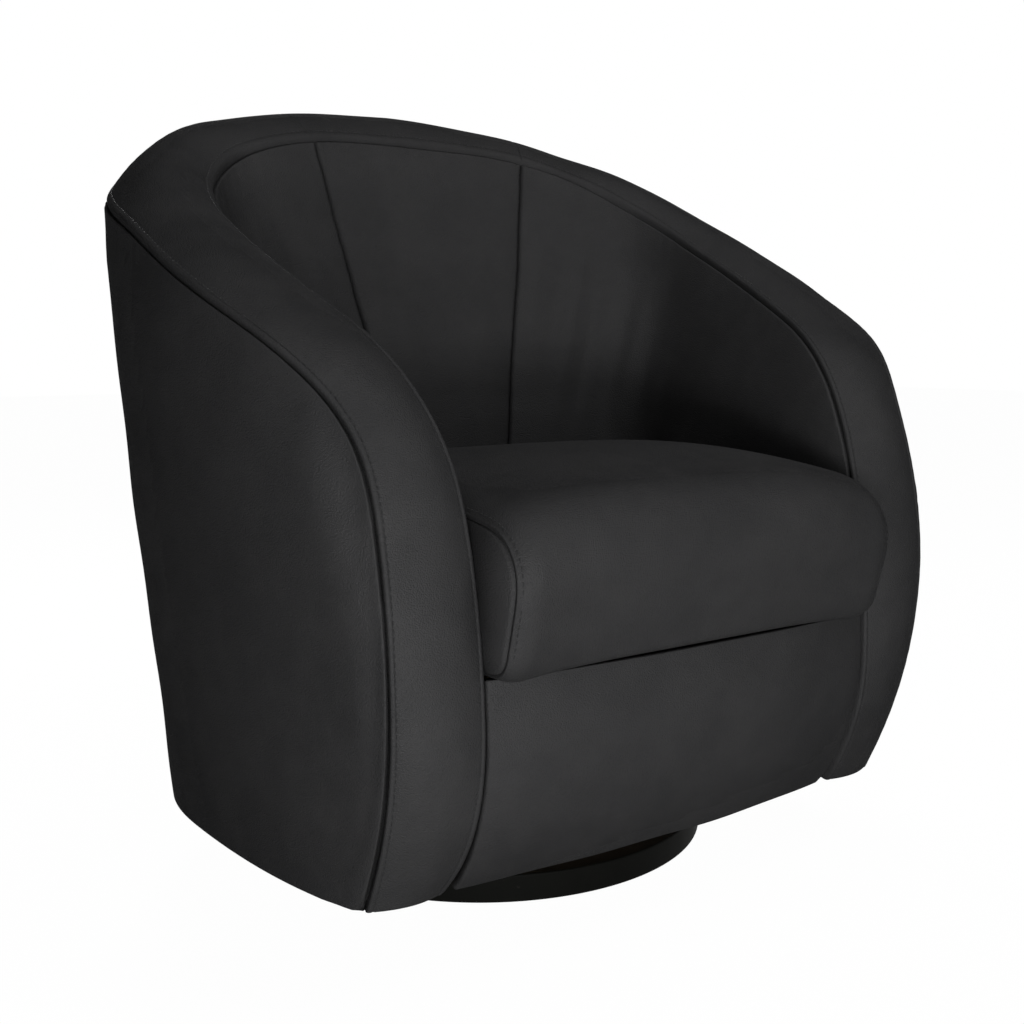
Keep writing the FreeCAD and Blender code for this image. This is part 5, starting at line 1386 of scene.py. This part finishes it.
def make_cushion(look, cushion, leather, thread):
    """Seat cushion: crowned top and front between two side gussets, swollen by its filling.

    The filling's shift is smoothed over the grid by a running mean along its rings and across them.
    """
    rings, seams = cushion_rings(cushion)
    points, faces = rod(rings)
    rows = np.arange(len(rings))
    loop = rings[len(rings) // 2]
    hidden = (loop[:, 1] > HELD_REAR) | (loop[:, 2] < cushion.foot + HELD_FOOT)
    held = np.zeros(rings.shape[:2])
    held[:, hidden] = 1.0
    held[(rows <= seams[0] - HELD_GUSSET) | (rows >= seams[1] + HELD_GUSSET)] = 1.0
    held[list(seams)] = 1.0
    shift = inflated(points, faces, held.ravel(), cushion.swell).reshape(rings.shape)
    for axis in (0, 1):
        for _ in range(SPREAD_ROUNDS):
            near = [np.roll(shift, step, axis=axis) for step in range(-SPREAD, SPREAD + 1)]
            shift = sum(near) / len(near)
    points = points + shift.reshape(-1, 3)
    sewn, lines = sewn_cushion(look, points.reshape(rings.shape), seams)
    piece = mesh_piece("seat_cushion_leather", *rod(sewn), leather, "leather")
    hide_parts("seat_cushion")
    shown = [(line[:, 1] < SEWN_REAR) & (line[:, 2] > cushion.foot + SEWN_FOOT) for line, _ in lines]
    sew("cushion_topstitch", [(line[part], normal[part]) for (line, normal), part in zip(lines, shown)],
        look, thread)


# Thread

BEAD_PLACES = (-0.5, -0.42, -0.2, 0.2, 0.42, 0.5)
BEAD_GIRTHS = (0.25, 0.8, 1.0, 1.0, 0.8, 0.25)
BEAD_DIPS = (-0.5, 0.0, 0.25, 0.25, 0.0, -0.5)
BEAD_FLATNESS = 0.7
LINE_SAMPLES = 1200
LINE_STEP = 0.5 * MM
ROW_MARGIN = 6 * MM


def stitches(points, directions, normals, look):
    """Stitches as short six-sided beads at points, lying along directions and standing on normals."""
    along = np.array(BEAD_PLACES) * look.stitch_length
    girth = np.array(BEAD_GIRTHS) * look.stitch_width / 2
    dip = np.array(BEAD_DIPS) * look.stitch_width
    turn = np.arange(6) * np.pi / 3
    side = np.cross(directions, normals)
    wide = (girth[:, None] * np.cos(turn))[..., None]
    tall = (girth[:, None] * np.sin(turn) * BEAD_FLATNESS + dip[:, None])[..., None]
    bead = (points[:, None, None] + directions[:, None, None] * along[:, None, None]
            + side[:, None, None] * wide + normals[:, None, None] * tall)
    skin = grid_faces(6, 6, wrap=True)
    caps = np.array([[0, 1, 4, 5], [1, 2, 3, 4], [30, 35, 34, 31], [31, 34, 33, 32]])
    one = np.concatenate([skin, caps])
    faces = (np.arange(len(points)) * 36)[:, None, None] + one[None]
    return bead.reshape(-1, 3), faces.reshape(-1, 4)


def spaced(points, normals, pitch):
    """Evenly spaced points along a line, with its directions and normals."""
    run = travelled(points)
    even = np.arange(pitch, run[-1] - pitch, pitch)
    place = read_along(even, run, points)
    up = unit(read_along(even, run, normals))
    direction = unit(read_along(even + pitch / 4, run, points) - place)
    up = unit(up - direction * np.einsum("ij,ij->i", up, direction)[:, None])
    return place, direction, up


def band_line(rim, look, start, end, inset, far):
    """Line on the band at a distance from its inner or outer seam, with the band's normals."""
    place = np.linspace(start, end, LINE_SAMPLES)
    inner, outer, _ = rim.at(place)
    width = np.linalg.norm(outer - inner, axis=-1)[:, None]
    at = width - inset if far else np.full_like(width, inset)
    here = band_surface(rim, look, place, at, start, end)[:, 0]
    aside = band_surface(rim, look, place, at + LINE_STEP, start, end)[:, 0]
    return here, unit(np.cross(np.gradient(here, axis=0), aside - here))


def sew(name, lines, look, thread):
    """One piece of thread: a row of stitches along each line of points and normals."""
    rows = zip(*(spaced(line, normal, look.stitch_pitch) for line, normal in lines))
    points, faces = stitches(*(np.concatenate(row) for row in rows), look)
    mesh_piece(name, points, faces, thread, "leather")


def make_thread(rim, look, thread):
    """Topstitch rows along both seams of the rim band."""
    sew("rim_topstitch",
        [band_line(rim, look, start + ROW_MARGIN, end - ROW_MARGIN, look.seam_allowance, far)
         for start, end in rim_lengths(rim).values() for far in (False, True)], look, thread)


# Operators

def settings():
    """Property groups of the scene."""
    scene = bpy.context.scene
    return scene.tub_shape, scene.tub_leather, scene.tub_cushion, scene.tub_stage


def finished(*names):
    """Result of an operator whose pieces stand in the scene; an error where one is missing or empty."""
    for name in names:
        piece = bpy.data.objects.get(name)
        if piece is None or not len(piece.data.polygons):
            raise RuntimeError(f"{name} was not built")
    return {"FINISHED"}


def shared_leather():
    """The shared leather, made once."""
    return bpy.data.materials.get("black_leather") or leather_material(settings()[1])


def shared_thread():
    """The shared thread, made once."""
    return bpy.data.materials.get("black_thread") or thread_material(settings()[1])


class TUB_OT_frame(bpy.types.Operator):
    """Give every carried-over CAD piece its procedural finish"""

    bl_idname = "tub.frame"
    bl_label = "Frame finishes"

    def execute(self, context):
        finishes = {
            "leather": shared_leather(),
            "plinth": painted_wood_material(),
            "plywood": wood_material("birch_plywood", (0.6, 0.44, 0.27), (0.42, 0.28, 0.15),
                                     along=0, scale=30.0),
            "timber": wood_material("sawn_timber", (0.52, 0.36, 0.2), (0.33, 0.2, 0.1),
                                    along=2, scale=26.0),
            "hardboard": wood_material("brown_hardboard", (0.25, 0.15, 0.08), (0.17, 0.1, 0.05),
                                       along=2, scale=60.0),
            "zinc": metal_material("zinc_plate", (0.6, 0.6, 0.58), roughness=0.35, brushed=160.0),
            "steel": metal_material("bright_steel", (0.5, 0.5, 0.51), roughness=0.22, brushed=300.0),
            "cage": plastic_material(),
            "felt": cloth_material("pressed_felt", (0.05, 0.05, 0.05), (0.085, 0.083, 0.08),
                                   scale=700.0),
            "cloth": cloth_material("spun_cloth", (0.018, 0.018, 0.018), (0.04, 0.04, 0.04),
                                    scale=900.0),
            "foam": cloth_material("cut_foam", (0.72, 0.64, 0.45), (0.8, 0.73, 0.56), scale=1100.0),
        }
        for part in frame["record"]["subparts"]:
            if part["material_slot"] not in finishes:
                raise RuntimeError(f"{part['node']} has no finish")
            materials = frame["nodes"][part["node"]].data.materials
            materials.clear()
            materials.append(finishes[part["material_slot"]])
        return {"FINISHED"}


class TUB_OT_rim(bpy.types.Operator):
    """Build the domed leather band that runs over both arms and round the back"""

    bl_idname = "tub.rim"
    bl_label = "Rim band"

    def execute(self, context):
        shape, look, _, _ = settings()
        make_band(Rim(shape), look, shared_leather())
        return finished(*(f"rim_band_leather_{side}" for side in SIDES))


class TUB_OT_outer(bpy.types.Operator):
    """Build the outer leather covers of the sides and back"""

    bl_idname = "tub.outer"
    bl_label = "Outer covers"

    def execute(self, context):
        shape, look, _, _ = settings()
        make_outer(Rim(shape), look, shared_leather())
        return finished(*(f"outer_leather_{side}" for side in SIDES))


class TUB_OT_inner(bpy.types.Operator):
    """Build the padded inner panels of the arms and back"""

    bl_idname = "tub.inner"
    bl_label = "Inner panels"

    def execute(self, context):
        shape = settings()[0]
        make_inner(Rim(shape), shared_leather())
        return finished(*(f"inner_leather_{side}" for side in SIDES))


class TUB_OT_seat(bpy.types.Operator):
    """Build the seat cushion and the apron under it"""

    bl_idname = "tub.seat"
    bl_label = "Cushion and apron"

    def execute(self, context):
        shape, look, cushion, _ = settings()
        make_cushion(look, cushion, shared_leather(), shared_thread())
        make_apron(Rim(shape), cushion, shared_leather())
        return finished("seat_cushion_leather", "cushion_topstitch", "apron_leather")


class TUB_OT_thread(bpy.types.Operator):
    """Sew the rows of topstitch along the seams"""

    bl_idname = "tub.thread"
    bl_label = "Topstitch"

    def execute(self, context):
        shape, look, _, _ = settings()
        make_thread(Rim(shape), look, shared_thread())
        return finished("rim_topstitch")


LAMPS = {
    "front": ((-0.72, -1.54, 0.12), 1.3, 0.2),
    "high": ((0.86, -1.27, 2.55), 0.9, 0.9),
    "top": ((0.0, -0.1, 3.0), 0.9, 0.9),
    "rear": ((0.52, 1.87, 2.1), 0.9, 0.9),
}
LAMP_TARGET = (0.0, -0.05, 0.42)
CAMERA_PLACE = (-0.7789, -1.1459, 0.5310)
SENSOR_WIDTH = 36.0
FLOOR_REACH = 12.0
FLOOR_GLOW = 0.985
WHITE = (1.0, 1.0, 1.0, 1.0)


def floor_material(stage):
    """Pale floor that keeps the shadow and shows white to the camera and in reflections."""
    paint = Paint("pale_floor", Roughness=0.9, Specular_IOR_Level=0.1)
    paint.shader.inputs["Base Color"].default_value = (*stage.floor, 1.0)
    glow = paint.node("ShaderNodeEmission", None, {"Color": WHITE, "Strength": 1.0}, out="Emission")
    base = Value(paint, paint.shader.outputs["BSDF"])
    shaders = {0: paint.seen() * FLOOR_GLOW, 1: base, 2: glow}
    mixed = paint.node("ShaderNodeMixShader", None, shaders, out="Shader")
    output = paint.tree.nodes["Material Output"]
    paint.tree.links.new(mixed.socket, output.inputs["Surface"])
    return paint.material


def surroundings(stage):
    """World that lights evenly, and shows white to the camera and in reflections."""
    world = bpy.data.worlds.new("studio")
    world.use_nodes = True
    nodes = Nodes(world.node_tree)
    background = nodes.tree.nodes["Background"]
    background.inputs["Color"].default_value = WHITE
    levels = {"Factor": nodes.seen(), "A": stage.sky, "B": 1.0}
    strength = nodes.node("ShaderNodeMix", None, levels, out="Result")
    nodes.tree.links.new(strength.socket, background.inputs["Strength"])
    return world


def add_lamp(name, place, width, height, power):
    """Rectangular area lamp at a place, turned to the lamps' target."""
    light = bpy.data.lights.new(name, "AREA")
    light.shape = "RECTANGLE"
    light.size, light.size_y = width, height
    light.energy = power
    holder = bpy.data.objects.new(name, light)
    holder.location = place
    holder.rotation_euler = (Vector(LAMP_TARGET) - Vector(place)).to_track_quat("-Z", "Y").to_euler()
    bpy.context.scene.collection.objects.link(holder)


def add_floor(stage):
    """Square floor at the chair's foot."""
    mesh = bpy.data.meshes.new("floor")
    corners = [(x * FLOOR_REACH, y * FLOOR_REACH, 0) for x, y in ((-1, -1), (1, -1), (1, 1), (-1, 1))]
    mesh.from_pydata(corners, [], [(0, 1, 2, 3)])
    mesh.materials.append(floor_material(stage))
    floor = bpy.data.objects.new("floor", mesh)
    bpy.context.scene.collection.objects.link(floor)


def add_camera(stage):
    """Camera at its place, looking along the stage's azimuth and pitch."""
    camera = bpy.data.cameras.new("camera")
    camera.lens = stage.lens
    camera.sensor_width = SENSOR_WIDTH
    turn, tilt = stage.azimuth, stage.pitch
    level = math.cos(tilt)
    forward = Vector((-math.sin(turn) * level, math.cos(turn) * level, -math.sin(tilt)))
    right = Vector((math.cos(turn), math.sin(turn), 0.0))
    basis = Matrix((right, right.cross(forward), -forward)).transposed()
    holder = bpy.data.objects.new("camera", camera)
    holder.matrix_world = Matrix.Translation(CAMERA_PLACE) @ basis.to_4x4()
    bpy.context.scene.collection.objects.link(holder)
    return holder


class TUB_OT_stage(bpy.types.Operator):
    """Set up the floor, the soft lamps, the white surroundings and the camera"""

    bl_idname = "tub.stage"
    bl_label = "Stage"

    def execute(self, context):
        stage = settings()[3]
        scene = context.scene
        scene.view_settings.view_transform = "Standard"
        scene.world = surroundings(stage)
        add_floor(stage)
        for name, (place, width, height) in LAMPS.items():
            add_lamp(name, place, width, height, getattr(stage, name))
        scene.camera = add_camera(stage)
        return finished("floor")


class TUB_PT_panel(bpy.types.Panel):
    """Buttons that build the chair piece by piece"""

    bl_idname = "TUB_PT_panel"
    bl_label = "Tub Chair"
    bl_space_type = "VIEW_3D"
    bl_region_type = "UI"
    bl_category = "Tub Chair"

    def draw(self, context):
        for operator in OPERATORS:
            self.layout.operator(operator.bl_idname)


OPERATORS = (TUB_OT_frame, TUB_OT_rim, TUB_OT_outer, TUB_OT_inner, TUB_OT_seat, TUB_OT_thread,
             TUB_OT_stage)
GROUPS = {
    "tub_shape": TubShape,
    "tub_leather": LeatherLook,
    "tub_cushion": CushionShape,
    "tub_stage": StageLook,
}


def register():
    """Register the properties, the operators and the panel."""
    for group in GROUPS.values():
        bpy.utils.register_class(group)
    for name, group in GROUPS.items():
        setattr(bpy.types.Scene, name, PointerProperty(type=group))
    for operator in OPERATORS:
        bpy.utils.register_class(operator)
    bpy.utils.register_class(TUB_PT_panel)


def unregister():
    """Take them out again."""
    bpy.utils.unregister_class(TUB_PT_panel)
    for operator in reversed(OPERATORS):
        bpy.utils.unregister_class(operator)
    for name, group in GROUPS.items():
        delattr(bpy.types.Scene, name)
        bpy.utils.unregister_class(group)


def main():
    """Build the chair piece by piece."""
    register()
    bpy.ops.tub.frame()
    bpy.ops.tub.rim()
    bpy.ops.tub.outer()
    bpy.ops.tub.inner()
    bpy.ops.tub.seat()
    bpy.ops.tub.thread()
    bpy.ops.tub.stage()


if __name__ == "__main__":
    main()
